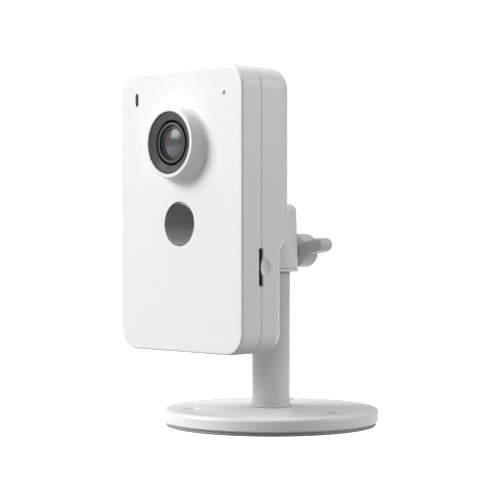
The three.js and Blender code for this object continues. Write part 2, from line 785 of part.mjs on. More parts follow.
function rearRoom() {
  const width = BODY_WIDTH - 2 * WALL;
  const height = BODY_HEIGHT - 2 * WALL;
  const radius = CORNER_RADIUS - WALL;
  const edge = REAR_EDGE - WALL;
  const low = softPlate(width, height, radius, edge, -12, RECESS_BACK - WALL, 2);
  const high = softPlate(width, height, radius, edge, -12, BODY_DEPTH - WALL, 2)
    .intersect(aboveStep(WALL, BODY_DEPTH - WALL));
  return join(low, high);
}

function rearShell() {
  const insertRoom = INSERT_LENGTH + SEAT;
  const bossEnd = BODY_DEPTH + BOSS_LENGTH;
  let shell = cut(rearOuter(), rearRoom());
  shell = join(shell, mountBoss(bossEnd, insertRoom));
  for (const screw of CASE_SCREWS) {
    const head = screw.back - SCREW_HEAD_HEIGHT - SCREW_SINK;
    shell = join(shell, rod(SCREW_BOSS, BOARD_BACK + SEAT, screw.back - WALL / 2, screw.x, screw.z, SMALL));
    shell = cut(
      shell,
      rod(SCREW_SHANK + SLIP, BOARD_BACK - OVER, screw.back, screw.x, screw.z, SMALL),
      rod(SCREW_HEAD + SLIP, head, screw.back + OVER, screw.x, screw.z, SMALL),
    );
  }
  for (const place of BOARD_POSTS) {
    const back = place.z < FOOT + RECESS_HEIGHT ? RECESS_BACK : BODY_DEPTH;
    shell = join(shell, rod(BOARD_POST, BOARD_BACK + SEAT, back - WALL / 2, place.x, place.z, SMALL));
    shell = cut(shell, rod(BOARD_SCREW_SHANK + SLIP, BOARD_BACK, BOARD_BACK + 3.2, place.x, place.z, SMALL));
  }
  return cut(
    shell,
    rod(INSERT_RADIUS + SEAT, bossEnd - insertRoom, bossEnd + OVER, 0, MOUNT_Z, 32),
    ...grille(),
    portOpening(),
    rod(BUTTON_RADIUS + SLIP, RECESS_BACK - WALL - OVER, BODY_DEPTH, BUTTON_OFFSET, PORT_Z, 20),
    cardSlot(),
    fingerScoop(),
  );
}

const INSERT_RADIUS = STUD_THREAD + SEAT + INSERT_WALL;

function mountBoss(bossEnd, insertRoom) {
  const inner = bossEnd - insertRoom - 1.6;
  return turnedY([
    [0, inner],
    [BOSS_RADIUS, inner],
    [BOSS_RADIUS, bossEnd - 0.6],
    [BOSS_RADIUS - 0.6, bossEnd],
    [0, bossEnd],
  ], ROUND).translate([0, 0, MOUNT_Z]);
}

function portOpening() {
  const width = PORT_WIDTH + 2 * GAP;
  const height = PORT_HEIGHT + 2 * GAP;
  return plate(width, height, 1.0, RECESS_BACK - WALL - OVER, BODY_DEPTH, 0, PORT_Z, 4);
}

function fingerScoop() {
  const x = HALF_WIDTH + SCOOP_RADIUS - SCOOP_DEPTH;
  return ball(SCOOP_RADIUS, x, SEAM_DEPTH + 1.0, SLOT_Z, 20);
}

function grille() {
  const rows = [-2, -1, 0, 1, 2];
  return rows.map((row) => {
    const length = GRILLE_LENGTH - GRILLE_TAPER * Math.abs(row);
    const z = SPEAKER_Z + row * GRILLE_PITCH;
    const front = BODY_DEPTH - WALL - OVER;
    return plate(length, GRILLE_SLOT, GRILLE_SLOT / 2 - 0.01, front, BODY_DEPTH + OVER, 0, z, 4);
  });
}

function caseScrew(place) {
  const seat = place.back - SCREW_HEAD_HEIGHT - SCREW_SINK + SEAT;
  const screw = turnedY([
    [0, SCREW_TIP],
    [SCREW_SHANK, SCREW_TIP + SCREW_SHANK],
    [SCREW_SHANK, seat],
    [SCREW_HEAD, seat],
    [SCREW_HEAD, seat + SCREW_HEAD_HEIGHT - 0.5],
    [SCREW_HEAD - 0.5, seat + SCREW_HEAD_HEIGHT],
    [0, seat + SCREW_HEAD_HEIGHT],
  ], SMALL + 2);
  const deep = seat + SCREW_HEAD_HEIGHT - 0.8;
  const reach = SCREW_HEAD * CROSS_REACH;
  const half = CROSS_HALF;
  const slots = join(
    block(-reach, reach, deep, deep + 2, -half, half),
    block(-half, half, deep, deep + 2, -reach, reach),
  );
  return cut(screw, slots).translate([place.x, 0, place.z]);
}

function mountInsert() {
  const end = BODY_DEPTH + BOSS_LENGTH - SEAT;
  const start = end - INSERT_LENGTH + SEAT;
  const inner = STUD_THREAD + SEAT;
  const middle = (start + end) / 2;
  return turnedY([
    [inner, start],
    [INSERT_RADIUS, start],
    [INSERT_RADIUS, middle - 0.8],
    [INSERT_RADIUS - 0.4, middle - 0.5],
    [INSERT_RADIUS - 0.4, middle + 0.5],
    [INSERT_RADIUS, middle + 0.8],
    [INSERT_RADIUS, end],
    [inner, end],
  ], ROUND).translate([0, 0, MOUNT_Z]);
}

// ---------------------------------------------------------------- lens
const BARREL_FRONT = -COLLAR_HEIGHT + BARREL_SETBACK;
const BARREL_BACK = BARREL_FRONT + BARREL_LENGTH;

function lensBaffle() {
  const outer = LENS_OPENING - SEAT;
  const inner = BARREL_RADIUS + 0.5;
  const front = -COLLAR_HEIGHT + 0.45;
  const points = [
    [inner, 1.2],
    [inner, front + 1.6],
  ];
  const step = (outer - 0.5 - inner) / BAFFLE_STEPS;
  const drop = BAFFLE_FALL / BAFFLE_STEPS;
  for (let i = 0; i < BAFFLE_STEPS; i += 1) {
    const y = front + 1.6 - drop * (i + 1);
    points.push([inner + step * i + 0.15, y], [inner + step * (i + 1), y]);
  }
  const flange = outer + 1.8;
  const sleeve = outer - 1.4;
  points.push([outer, front], [outer, WALL + SEAT], [flange, WALL + SEAT]);
  points.push([flange, WALL + 1.2], [sleeve, WALL + 1.2], [sleeve, 1.2]);
  return turnedY(points, 32).translate([0, 0, LENS_Z]);
}

function lensBarrel() {
  const bore = BARREL_RADIUS - BARREL_WALL;
  const rear = THREAD_RADIUS - 1.9;
  const neck = BARREL_FRONT + 4.6;
  return turnedY([
    [bore, BARREL_FRONT + 0.4],
    [bore, BARREL_FRONT + 4.2],
    [rear, BARREL_FRONT + 4.2],
    [rear, BARREL_BACK],
    [THREAD_RADIUS, BARREL_BACK],
    [THREAD_RADIUS, neck],
    [BARREL_RADIUS, neck],
    [BARREL_RADIUS, BARREL_FRONT + 0.3],
    [BARREL_RADIUS - 0.3, BARREL_FRONT],
    [bore + 0.4, BARREL_FRONT],
  ].reverse(), ROUND).translate([0, 0, LENS_Z]);
}

// the ring that holds the outer element in the barrel
function lensRetainer() {
  const outer = BARREL_RADIUS - BARREL_WALL - SEAT;
  return turnedY([
    [outer - 0.7, BARREL_FRONT + 0.5],
    [outer - 0.5, BARREL_FRONT + 1.1],
    [outer, BARREL_FRONT + 1.1],
    [outer, BARREL_FRONT + 0.3],
    [outer - 0.4, BARREL_FRONT + 0.3],
  ].reverse(), ROUND).translate([0, 0, LENS_Z]);
}

function frontGlass() {
  const radius = BARREL_RADIUS - BARREL_WALL - SEAT;
  const edge = BARREL_FRONT + 1.2;
  const lens = turnedY([
    [0, edge + GLASS_THICKNESS],
    [radius, edge + GLASS_THICKNESS],
    [radius, edge],
    [radius - 0.8, edge],
    [radius * 0.7, edge - 0.5],
    [radius * 0.4, edge - 0.85],
    [0, edge - 1.0],
  ].reverse(), ROUND);
  return lens.translate([0, 0, LENS_Z]);
}

function innerGlass() {
  const radius = THREAD_RADIUS - 1.9 - SEAT;
  const front = BARREL_FRONT + 5.4;
  return turnedY([
    [0, front + 2.0],
    [radius, front + 1.4],
    [radius, front + 0.4],
    [0, front],
  ].reverse(), ROUND).translate([0, 0, LENS_Z]);
}

const HOLDER_HALF = THREAD_RADIUS + 2.2;
const FILTER_BACK = BOARD_FRONT - 1.5;

function lensHolder() {
  const tube = rod(THREAD_RADIUS + 1.3, BARREL_FRONT + 5.4, BARREL_BACK, 0, LENS_Z, ROUND);
  const side = 2 * HOLDER_HALF;
  const foot = plate(side, side, 1.5, BARREL_BACK - 1.2, BOARD_FRONT - SEAT, 0, LENS_Z, 3);
  const thread = rod(THREAD_RADIUS + SEAT, BARREL_FRONT, BARREL_BACK + SEAT, 0, LENS_Z, ROUND);
  const light = plate(9.0, 9.0, 1, BARREL_BACK - OVER, BOARD_FRONT + OVER, 0, LENS_Z, 3);
  return cut(join(tube, foot), thread, light, filterTrack());
}

// the sideways track in the holder that the filter slider runs in
function filterTrack() {
  const half = FILTER_HALF_HEIGHT + SLIP;
  const reach = HOLDER_HALF + OVER;
  return block(
    -reach, reach, FILTER_BACK - FILTER_THICKNESS - SLIP, FILTER_BACK + SLIP, LENS_Z - half, LENS_Z + half,
  );
}

function filterSlider() {
  const left = -FILTER_TRAVEL - FILTER_CLEAR_HOLE - 1.0;
  const right = FILTER_HALF_WIDTH + 1.2;
  const front = FILTER_BACK - FILTER_THICKNESS;
  const tall = FILTER_HALF_HEIGHT;
  const bar = block(left, right, front, FILTER_BACK, LENS_Z - tall, LENS_Z + tall);
  const pocket = FILTER_HALF_WIDTH + SEAT;
  const y0 = front - OVER;
  const y1 = FILTER_BACK + OVER;
  const seat = block(-pocket, pocket, y0, y1, LENS_Z - pocket, LENS_Z + pocket);
  const clear = rod(FILTER_CLEAR_HOLE, y0, y1, -FILTER_TRAVEL, LENS_Z, 16);
  return cut(bar, seat, clear);
}

function infraredFilter() {
  const front = FILTER_BACK - FILTER_THICKNESS + 0.15;
  const half = FILTER_HALF_WIDTH;
  return block(-half, half, front, FILTER_BACK - 0.15, LENS_Z - half, LENS_Z + half);
}

function imageSensor() {
  return block(-3.6, 3.6, BOARD_FRONT - 1.1, BOARD_FRONT - SEAT, LENS_Z - 3.2, LENS_Z + 3.2);
}

// ---------------------------------------------------------------- window, light and microphone
function infraredWindow() {
  const radius = WINDOW_RADIUS;
  return turnedY([
    [0, 0.05],
    [radius - 0.2, 0.05],
    [radius, 0.25],
    [radius, WALL + SEAT],
    [radius + 1.4, WALL + SEAT],
    [radius + 1.4, WALL + 1.0],
    [0, WALL + 1.0],
  ], 32).translate([0, 0, WINDOW_Z]);
}

const LAMP_BOARD_FRONT = WALL + 3.6;

function infraredBoard() {
  const size = 2 * WINDOW_RADIUS;
  return plate(size, size, 1.5, LAMP_BOARD_FRONT, LAMP_BOARD_FRONT + 1, 0, WINDOW_Z, 3);
}

function infraredLamp() {
  const front = LAMP_BOARD_FRONT - SEAT;
  const base = block(-1.9, 1.9, front - 1.0, front, WINDOW_Z - 1.9, WINDOW_Z + 1.9);
  const dome = ball(1.5, 0, front - 1.0, WINDOW_Z, 20);
  return join(base, dome.intersect(block(-3, 3, front - 4, front - 0.5, WINDOW_Z - 3, WINDOW_Z + 3)));
}

function lampCable() {
  const width = 3.0;
  const y0 = LAMP_BOARD_FRONT + 1 + SEAT;
  return block(-width, width, y0, BOARD_FRONT - SEAT, WINDOW_Z - 1.2, WINDOW_Z - 0.9);
}

function statusGuide() {
  const width = LIGHT_WIDTH - 2 * SEAT;
  const height = LIGHT_HEIGHT - 2 * SEAT;
  const stem = slotPlate(width, height, 0.15, BOARD_FRONT - 1.4, -SIGNAL_X, SIGNAL_Z);
  const flange = plate(width + 2, height + 2, 1, WALL + SEAT, WALL + 1.1, -SIGNAL_X, SIGNAL_Z, 3);
  return join(stem, flange);
}

function statusLamp() {
  const x = -SIGNAL_X;
  return block(x - 0.9, x + 0.9, BOARD_FRONT - 1.0, BOARD_FRONT - SEAT, SIGNAL_Z - 0.9, SIGNAL_Z + 0.9);
}

function microphone() {
  return rod(2.0, BOARD_FRONT - 1.5, BOARD_FRONT - SEAT, SIGNAL_X, SIGNAL_Z, SMALL);
}

function microphoneBoot() {
  return turnedY([
    [MIC_HOLE, WALL + SEAT],
    [2.0, WALL + SEAT],
    [2.6, BOARD_FRONT - 3.0],
    [2.6, BOARD_FRONT - 1.6],
    [MIC_HOLE, BOARD_FRONT - 1.6],
  ], SMALL + 2).translate([SIGNAL_X, 0, SIGNAL_Z]);
}

// ---------------------------------------------------------------- boards and what is on them
function mainBoard() {
  const inset = WALL + LIP_WALL + SLIP + GAP;
  const width = BODY_WIDTH - 2 * inset;
  const height = BODY_HEIGHT - 2 * inset;
  const front = BOARD_FRONT - OVER;
  const back = BOARD_BACK + OVER;
  const reach = SCREW_POST + GAP;
  let board = plate(width, height, CORNER_RADIUS - inset, BOARD_FRONT, BOARD_BACK, 0, 0, 3);
  for (const screw of CASE_SCREWS) {
    const [x0, x1] = [screw.x, Math.sign(screw.x) * HALF_WIDTH].sort((a, b) => a - b);
    const round = rod(reach, front, back, screw.x, screw.z, SMALL);
    const notch = block(x0, x1, front, back, screw.z - reach, screw.z + reach);
    board = cut(board, round, notch);
  }
  for (const place of BOARD_POSTS) {
    board = cut(board, rod(BOARD_SCREW_SHANK + SLIP, front, back, place.x, place.z, SMALL));
  }
  const half = PORT_WIDTH / 2 + GAP;
  const tall = PORT_HEIGHT / 2 + GAP;
  return cut(board, block(-half, half, front, back, PORT_Z - tall, PORT_Z + tall));
}

function boardScrew(place) {
  return turnedY([
    [0, BOARD_FRONT - 1.2],
    [BOARD_SCREW_HEAD, BOARD_FRONT - 1.2],
    [BOARD_SCREW_HEAD, BOARD_FRONT - SEAT],
    [BOARD_SCREW_SHANK, BOARD_FRONT - SEAT],
    [BOARD_SCREW_SHANK, BOARD_BACK + 2.4],
    [0, BOARD_BACK + 2.9],
  ], SMALL).translate([place.x, 0, place.z]);
}

function shieldCan() {
  const [x0, x1] = [-17, 3];
  const [z0, z1] = [PORT_Z + 4, PORT_Z + 19];
  const front = BOARD_FRONT - 2.6;
  const can = block(x0, x1, front, BOARD_FRONT - SEAT, z0, z1);
  return cut(can, block(x0 + 0.4, x1 - 0.4, front + 0.4, BOARD_FRONT + OVER, z0 + 0.4, z1 - 0.4));
}

function heatSpreader() {
  const [x0, x1] = [-16, 2];
  const [z0, z1] = [PORT_Z + 5, PORT_Z + 18];
  const back = BOARD_FRONT - 2.6 - SEAT;
  let fins = block(x0, x1, back - 0.8, back, z0, z1);
  for (let x = x0; x < x1; x += 3) {
    fins = join(fins, block(x, x + 1.2, back - 3.0, back - 0.5, z0, z1));
  }
  return fins;
}

function cardSocket() {
  const x1 = HALF_WIDTH - WALL - LIP_WALL - SLIP - GAP;
  const x0 = x1 - CARD_SOCKET_DEPTH;
  const front = SEAM_DEPTH - SLOT_AHEAD + 0.05;
  const half = SLOT_LENGTH / 2 + 0.6;
  const inside = half - 0.8;
  const can = block(x0, x1, front, BOARD_FRONT - SEAT, SLOT_Z - half, SLOT_Z + half);
  const mouth = block(x0 + 1.5, x1 + OVER, front + 0.3, front + 1.7, SLOT_Z - inside, SLOT_Z + inside);
  return cut(can, mouth);
}

function antenna() {
  const back = BODY_DEPTH - WALL - SEAT;
  const z = TOP - REAR_EDGE - 3.4;
  return plate(26, 5, 0.8, back - 0.35, back, 0, z, 3);
}

const SPEAKER_BACK = BODY_DEPTH - WALL - 1.0;

function speaker() {
  const front = SPEAKER_BACK - SPEAKER_HEIGHT;
  return turnedY([
    [0, front],
    [SPEAKER_RADIUS - 3, front],
    [SPEAKER_RADIUS - 3, front + 1.2],
    [SPEAKER_RADIUS, front + 1.2],
    [SPEAKER_RADIUS, SPEAKER_BACK],
    [SPEAKER_RADIUS - 1.2, SPEAKER_BACK],
    [SPEAKER_RADIUS - 2.4, SPEAKER_BACK - 0.6],
    [0, SPEAKER_BACK - 0.2],
  ], 32).translate([0, 0, SPEAKER_Z]);
}

function speakerSeal() {
  const y0 = SPEAKER_BACK + SEAT;
  const y1 = BODY_DEPTH - WALL - SEAT;
  return turnedY([
    [SPEAKER_RADIUS - 1.3, y0],
    [SPEAKER_RADIUS, y0],
    [SPEAKER_RADIUS, y1],
    [SPEAKER_RADIUS - 1.3, y1],
  ], 32).translate([0, 0, SPEAKER_Z]);
}

function powerSocket() {
  const back = RECESS_BACK - 0.3;
  const front = BOARD_FRONT - 1.2;
  const can = plate(PORT_WIDTH, PORT_HEIGHT, 0.8, front, back, 0, PORT_Z, 4);
  const mouth = plate(PORT_WIDTH - 0.7, PORT_HEIGHT - 0.7, 0.5, front + 1.2, back + OVER, 0, PORT_Z, 4);
  const tongue = block(-2.4, 2.4, front + 1.0, back - 0.8, PORT_Z - 0.15, PORT_Z + 0.45);
  return join(cut(can, mouth), tongue);
}

function resetButton() {
  const inner = RECESS_BACK - WALL;
  return turnedY([
    [0, inner - 1.2],
    [BUTTON_RADIUS + BUTTON_FLANGE, inner - 1.2],
    [BUTTON_RADIUS + BUTTON_FLANGE, inner - SEAT],
    [BUTTON_RADIUS, inner - SEAT],
    [BUTTON_RADIUS, RECESS_BACK + 0.3],
    [BUTTON_RADIUS - 0.3, RECESS_BACK + 0.6],
    [0, RECESS_BACK + 0.6],
  ], SMALL + 2).translate([BUTTON_OFFSET, 0, PORT_Z]);
}

function resetSwitch() {
  const x = BUTTON_OFFSET;
  const top = RECESS_BACK - WALL - 1.2 - BUTTON_TRAVEL - SEAT;
  return block(x - 2, x + 2, BOARD_BACK + SEAT, top, PORT_Z - 2, PORT_Z + 2);
}

function camera() {
  const group = new THREE.Group();
  group.position.set(0, -SOCKET_FORWARD - STEM_REACH - BODY_DEPTH, JOINT_HEIGHT + MOUNT_DROP);
  const corners = ["low_left", "low_right", "top_left", "top_right"];
  CASE_SCREWS.forEach((place, i) => group.add(piece(`case_screw_${corners[i]}`, caseScrew(place), steel)));
  BOARD_POSTS.forEach((place, i) => group.add(piece(`board_screw_${i + 1}`, boardScrew(place), steel)));
  group.add(
    piece("front_shell", frontShell(), whitePlastic),
    piece("rear_shell", rearShell(), whitePlastic),
    piece("mount_insert", mountInsert(), brass),
    piece("lens_baffle", lensBaffle(), blackPlastic),
    piece("lens_barrel", lensBarrel(), blackPlastic),
    piece("lens_retainer", lensRetainer(), blackPlastic),
    piece("front_glass", frontGlass(), lensGlass),
    piece("inner_glass", innerGlass(), lensGlass),
    piece("lens_holder", lensHolder(), blackPlastic),
    piece("filter_slider", filterSlider(), blackPlastic),
    piece("infrared_filter", infraredFilter(), lensGlass),
    piece("image_sensor", imageSensor(), boardPart),
    piece("infrared_window", infraredWindow(), smokedPlastic),
    piece("infrared_board", infraredBoard(), boardGreen),
    piece("infrared_lamp", infraredLamp(), lensGlass),
    piece("lamp_cable", lampCable(), copperFoil),
    piece("status_guide", statusGuide(), smokedPlastic),
    piece("status_lamp", statusLamp(), boardPart),
    piece("microphone", microphone(), aluminium),
    piece("microphone_boot", microphoneBoot(), rubber),
    piece("main_board", mainBoard(), boardGreen),
    piece("shield_can", shieldCan(), steel),
    piece("heat_spreader", heatSpreader(), aluminium),
    piece("card_socket", cardSocket(), steel),
    piece("antenna", antenna(), copperFoil),
    piece("speaker", speaker(), boardPart),
    piece("speaker_seal", speakerSeal(), rubber),
    piece("power_socket", powerSocket(), steel),
    piece("reset_button", resetButton(), whitePlastic),
    piece("reset_switch", resetSwitch(), boardPart),
  );
  return group;
}

const model = new THREE.Group();
model.add(stand(), head(), stud(), camera());

export default model;
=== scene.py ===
# Small indoor security camera on a ball joint, pole and round base, built piece by piece round
# its CAD frame, from the foot pad up to the case and its lens.
import json
import math

import bmesh
import bpy
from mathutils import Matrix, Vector


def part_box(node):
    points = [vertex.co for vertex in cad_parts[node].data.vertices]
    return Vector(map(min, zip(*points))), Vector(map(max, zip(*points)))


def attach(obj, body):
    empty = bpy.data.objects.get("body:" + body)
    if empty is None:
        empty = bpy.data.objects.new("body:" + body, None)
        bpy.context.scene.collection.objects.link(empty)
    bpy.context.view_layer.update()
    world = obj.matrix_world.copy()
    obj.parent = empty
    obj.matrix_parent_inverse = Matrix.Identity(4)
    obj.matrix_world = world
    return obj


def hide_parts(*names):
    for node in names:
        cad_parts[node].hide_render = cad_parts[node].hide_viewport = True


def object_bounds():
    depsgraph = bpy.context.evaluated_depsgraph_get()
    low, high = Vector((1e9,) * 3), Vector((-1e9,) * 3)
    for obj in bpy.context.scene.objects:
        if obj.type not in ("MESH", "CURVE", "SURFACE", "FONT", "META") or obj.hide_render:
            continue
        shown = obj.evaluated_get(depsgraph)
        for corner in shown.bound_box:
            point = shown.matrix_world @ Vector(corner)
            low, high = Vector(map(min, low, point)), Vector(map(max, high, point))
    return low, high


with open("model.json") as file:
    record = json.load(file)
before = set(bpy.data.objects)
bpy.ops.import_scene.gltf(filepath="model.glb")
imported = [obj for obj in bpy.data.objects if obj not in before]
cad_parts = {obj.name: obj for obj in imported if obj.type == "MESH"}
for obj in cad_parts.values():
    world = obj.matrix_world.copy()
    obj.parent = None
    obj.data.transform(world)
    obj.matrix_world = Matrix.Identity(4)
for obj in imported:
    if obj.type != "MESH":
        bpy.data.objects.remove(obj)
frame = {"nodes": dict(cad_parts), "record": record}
cad_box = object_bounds()
MM = 0.001

# ---------------------------------------------------------------------------------------------
# Studio camera: a long lens, level, a little above the ball joint, looking at the front right
# corner. It is made first, and its shift only frames the object.
VIEW_TURN = math.radians(45.8)
VIEW_DISTANCE = 583.7 * MM
VIEW_HEIGHT = 66.2 * MM
VIEW_SIDESTEP = 7.39 * MM
SENSOR_WIDTH = 36.0
FOCAL_LENGTH = 119.2
FRAME_SHIFT = -0.027

studio_camera = bpy.data.objects.new("studio_camera", bpy.data.cameras.new("studio_camera"))
studio_camera.data.sensor_width = SENSOR_WIDTH
studio_camera.data.lens = FOCAL_LENGTH
studio_camera.data.shift_y = FRAME_SHIFT
studio_camera.data.clip_start = 0.01
studio_camera.data.clip_end = 50.0
studio_camera.rotation_euler = (math.radians(90.0), 0.0, VIEW_TURN)
studio_camera.location = (
    VIEW_DISTANCE * math.sin(VIEW_TURN) - VIEW_SIDESTEP * math.cos(VIEW_TURN),
    -VIEW_DISTANCE * math.cos(VIEW_TURN) - VIEW_SIDESTEP * math.sin(VIEW_TURN),
    VIEW_HEIGHT,
)
bpy.context.scene.collection.objects.link(studio_camera)
bpy.context.scene.camera = studio_camera
bpy.context.scene.view_settings.view_transform = "Standard"


# ---------------------------------------------------------------------------------------------
# Studio: a white paper floor, an even white surround and four soft boxes. The key box is in
# front of the camera's face, so the side with the card slot falls into a light grey.
def node_material(name):
    """A new material with its node tree, for the finish to be built in."""
    material = bpy.data.materials.new(name)
    material.use_nodes = True
    return material, material.node_tree.nodes, material.node_tree.links


def soft_box(name, place, aim, side, power):
    """A square soft box at a place, turned to face its aim; the side is in metres."""
    data = bpy.data.lights.new(name, "AREA")
    data.shape = "RECTANGLE"
    data.size = side
    data.size_y = side
    data.energy = power
    box = bpy.data.objects.new(name, data)
    box.location = place
    box.rotation_euler = (Vector(aim) - Vector(place)).to_track_quat("-Z", "Y").to_euler()
    bpy.context.scene.collection.objects.link(box)


paper, nodes, links = node_material("floor_paper")
shader = nodes["Principled BSDF"]
shader.inputs["Base Color"].default_value = (0.86, 0.86, 0.86, 1.0)
shader.inputs["Roughness"].default_value = 0.9
shader.inputs["Emission Color"].default_value = (1.0, 1.0, 1.0, 1.0)
shader.inputs["Emission Strength"].default_value = 1.0
fibre = nodes.new("ShaderNodeTexNoise")
fibre.inputs["Scale"].default_value = 900.0
fibre_bump = nodes.new("ShaderNodeBump")
fibre_bump.inputs["Strength"].default_value = 0.04
links.new(fibre.outputs["Fac"], fibre_bump.inputs["Height"])
links.new(fibre_bump.outputs["Normal"], shader.inputs["Normal"])

floor_mesh = bpy.data.meshes.new("floor")
FLOOR_REACH = 6.0
floor_mesh.from_pydata(
    [(x * FLOOR_REACH, y * FLOOR_REACH, 0.0) for x, y in ((-1, -1), (1, -1), (1, 1), (-1, 1))],
    [],
    [(0, 1, 2, 3)],
)
floor_mesh.materials.append(paper)
floor = bpy.data.objects.new("floor", floor_mesh)
FLOOR_CLEARANCE = 0.02 * MM
floor.location.z = cad_box[0].z - FLOOR_CLEARANCE
floor.visible_diffuse = False
bpy.context.scene.collection.objects.link(floor)

surround = bpy.data.worlds.new("surround")
surround.use_nodes = True
bpy.context.scene.world = surround
nodes, links = surround.node_tree.nodes, surround.node_tree.links
sky = nodes["Background"]
sky.inputs["Color"].default_value = (1.0, 1.0, 1.0, 1.0)
sky.inputs["Strength"].default_value = 0.1
backdrop = nodes.new("ShaderNodeBackground")
backdrop.inputs["Color"].default_value = (1.0, 1.0, 1.0, 1.0)
backdrop.inputs["Strength"].default_value = 1.05
seen = nodes.new("ShaderNodeLightPath")
choice = nodes.new("ShaderNodeMixShader")
links.new(seen.outputs["Is Camera Ray"], choice.inputs["Fac"])
links.new(sky.outputs["Background"], choice.inputs[1])
links.new(backdrop.outputs["Background"], choice.inputs[2])
links.new(choice.outputs["Shader"], nodes["World Output"].inputs["Surface"])

MIDDLE = (0.0, -0.02, 0.07)
soft_box("key_box", (-0.82, -1.05, 0.8), MIDDLE, 0.8, 25.5)
soft_box("front_box", (0.75, -1.1, 0.12), MIDDLE, 0.7, 2.8)
soft_box("top_box", (-0.2, 0.1, 1.1), MIDDLE, 1.1, 8.2)
soft_box("back_box", (1.0, 0.75, 0.5), MIDDLE, 0.6, 7.4)


# ---------------------------------------------------------------------------------------------
# Foot pad: a disc of soft grey rubber glued under the base, punched clear of the three screw
# holes. Its edges are slightly broken by the die.
def new_piece(name, mesh):
    """A mesh put in the scene under a name."""
    piece = bpy.data.objects.new(name, mesh)
    bpy.context.scene.collection.objects.link(piece)
    return piece


def bridge(builder, low, high):
    """Joins two rings with the same number of points by a band of faces."""
    for i in range(len(low)):
        j = (i + 1) % len(low)
        builder.faces.new((low[i], low[j], high[j], high[i]))


def close_mesh(builder, name):
    """Ends a mesh under construction: its normals face outward, and it becomes a piece."""
    bmesh.ops.recalc_face_normals(builder, faces=builder.faces)
    mesh = bpy.data.meshes.new(name)
    builder.to_mesh(mesh)
    builder.free()
    return new_piece(name, mesh)


ON_AXIS = 1e-9


def turned(name, profile, sides, axis="Z", centre=(0.0, 0.0, 0.0)):
    """A solid turned about Y or Z from (radius, height) points.

    A profile that starts off the axis closes on itself."""
    builder = bmesh.new()
    turns = [2 * math.pi * i / sides for i in range(sides)]
    directions = [(math.cos(turn), math.sin(turn)) for turn in turns]
    rings = []
    for radius, height in profile:
        if radius < ON_AXIS:
            points = [(0.0, 0.0, height)]
        else:
            points = [(radius * c, radius * s, height) for c, s in directions]
        if axis == "Y":
            points = [(x, z, y) for x, y, z in points]
        rings.append([builder.verts.new(Vector(point) + Vector(centre)) for point in points])
    pairs = list(zip(rings, rings[1:]))
    if profile[0][0] > ON_AXIS:
        pairs.append((rings[-1], rings[0]))
    for low, high in pairs:
        if len(low) == len(high):
            bridge(builder, low, high)
            continue
        for i in range(sides):
            j = (i + 1) % sides
            if len(low) == 1:
                builder.faces.new((low[0], high[i], high[j]))
            else:
                builder.faces.new((low[i], low[j], high[0]))
    return close_mesh(builder, name)


def curve_points(cx, cy, radius, start, end, steps):
    """Points of an arc in a profile, angles in degrees."""
    angles = [math.radians(start + (end - start) * i / steps) for i in range(steps + 1)]
    return [(cx + radius * math.cos(a), cy + radius * math.sin(a)) for a in angles]


def apply_steps(piece):
    """Turns a piece's modifiers into plain mesh."""
    depsgraph = bpy.context.evaluated_depsgraph_get()
    result = bpy.data.meshes.new_from_object(piece.evaluated_get(depsgraph))
    piece.modifiers.clear()
    piece.data = result
    return piece


def carve(piece, tools, operation="DIFFERENCE"):
    """Cuts the tools out of a piece, or joins them to it with UNION; the tools are used up."""
    for tool in tools:
        step = piece.modifiers.new("carve", "BOOLEAN")
        step.object = tool
        step.operation = operation
        step.solver = "EXACT"
    apply_steps(piece)
    for tool in tools:
        bpy.data.objects.remove(tool)
    return piece


def smooth(piece, angle=32.0, round_edge=0.0):
    """Smooth shading with crisp moulded edges; round_edge adds a fine radius to the sharp ones."""
    if round_edge:
        edge = piece.modifiers.new("edge", "BEVEL")
        edge.width = round_edge
        edge.segments = 2
        edge.limit_method = "ANGLE"
        edge.angle_limit = math.radians(angle)
        edge.harden_normals = False
        apply_steps(piece)
    for polygon in piece.data.polygons:
        polygon.use_smooth = True
    piece.data.set_sharp_from_angle(angle=math.radians(angle))
    weigh = piece.modifiers.new("weigh", "WEIGHTED_NORMAL")
    weigh.keep_sharp = True
    weigh.weight = 80
    return piece


def finish_piece(piece, material, body, slot, *nodes):
    """Gives a piece its material and the body that carries it."""
    piece.data.materials.clear()
    piece.data.materials.append(material)
    if nodes:
        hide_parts(*nodes)
    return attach(piece, body)


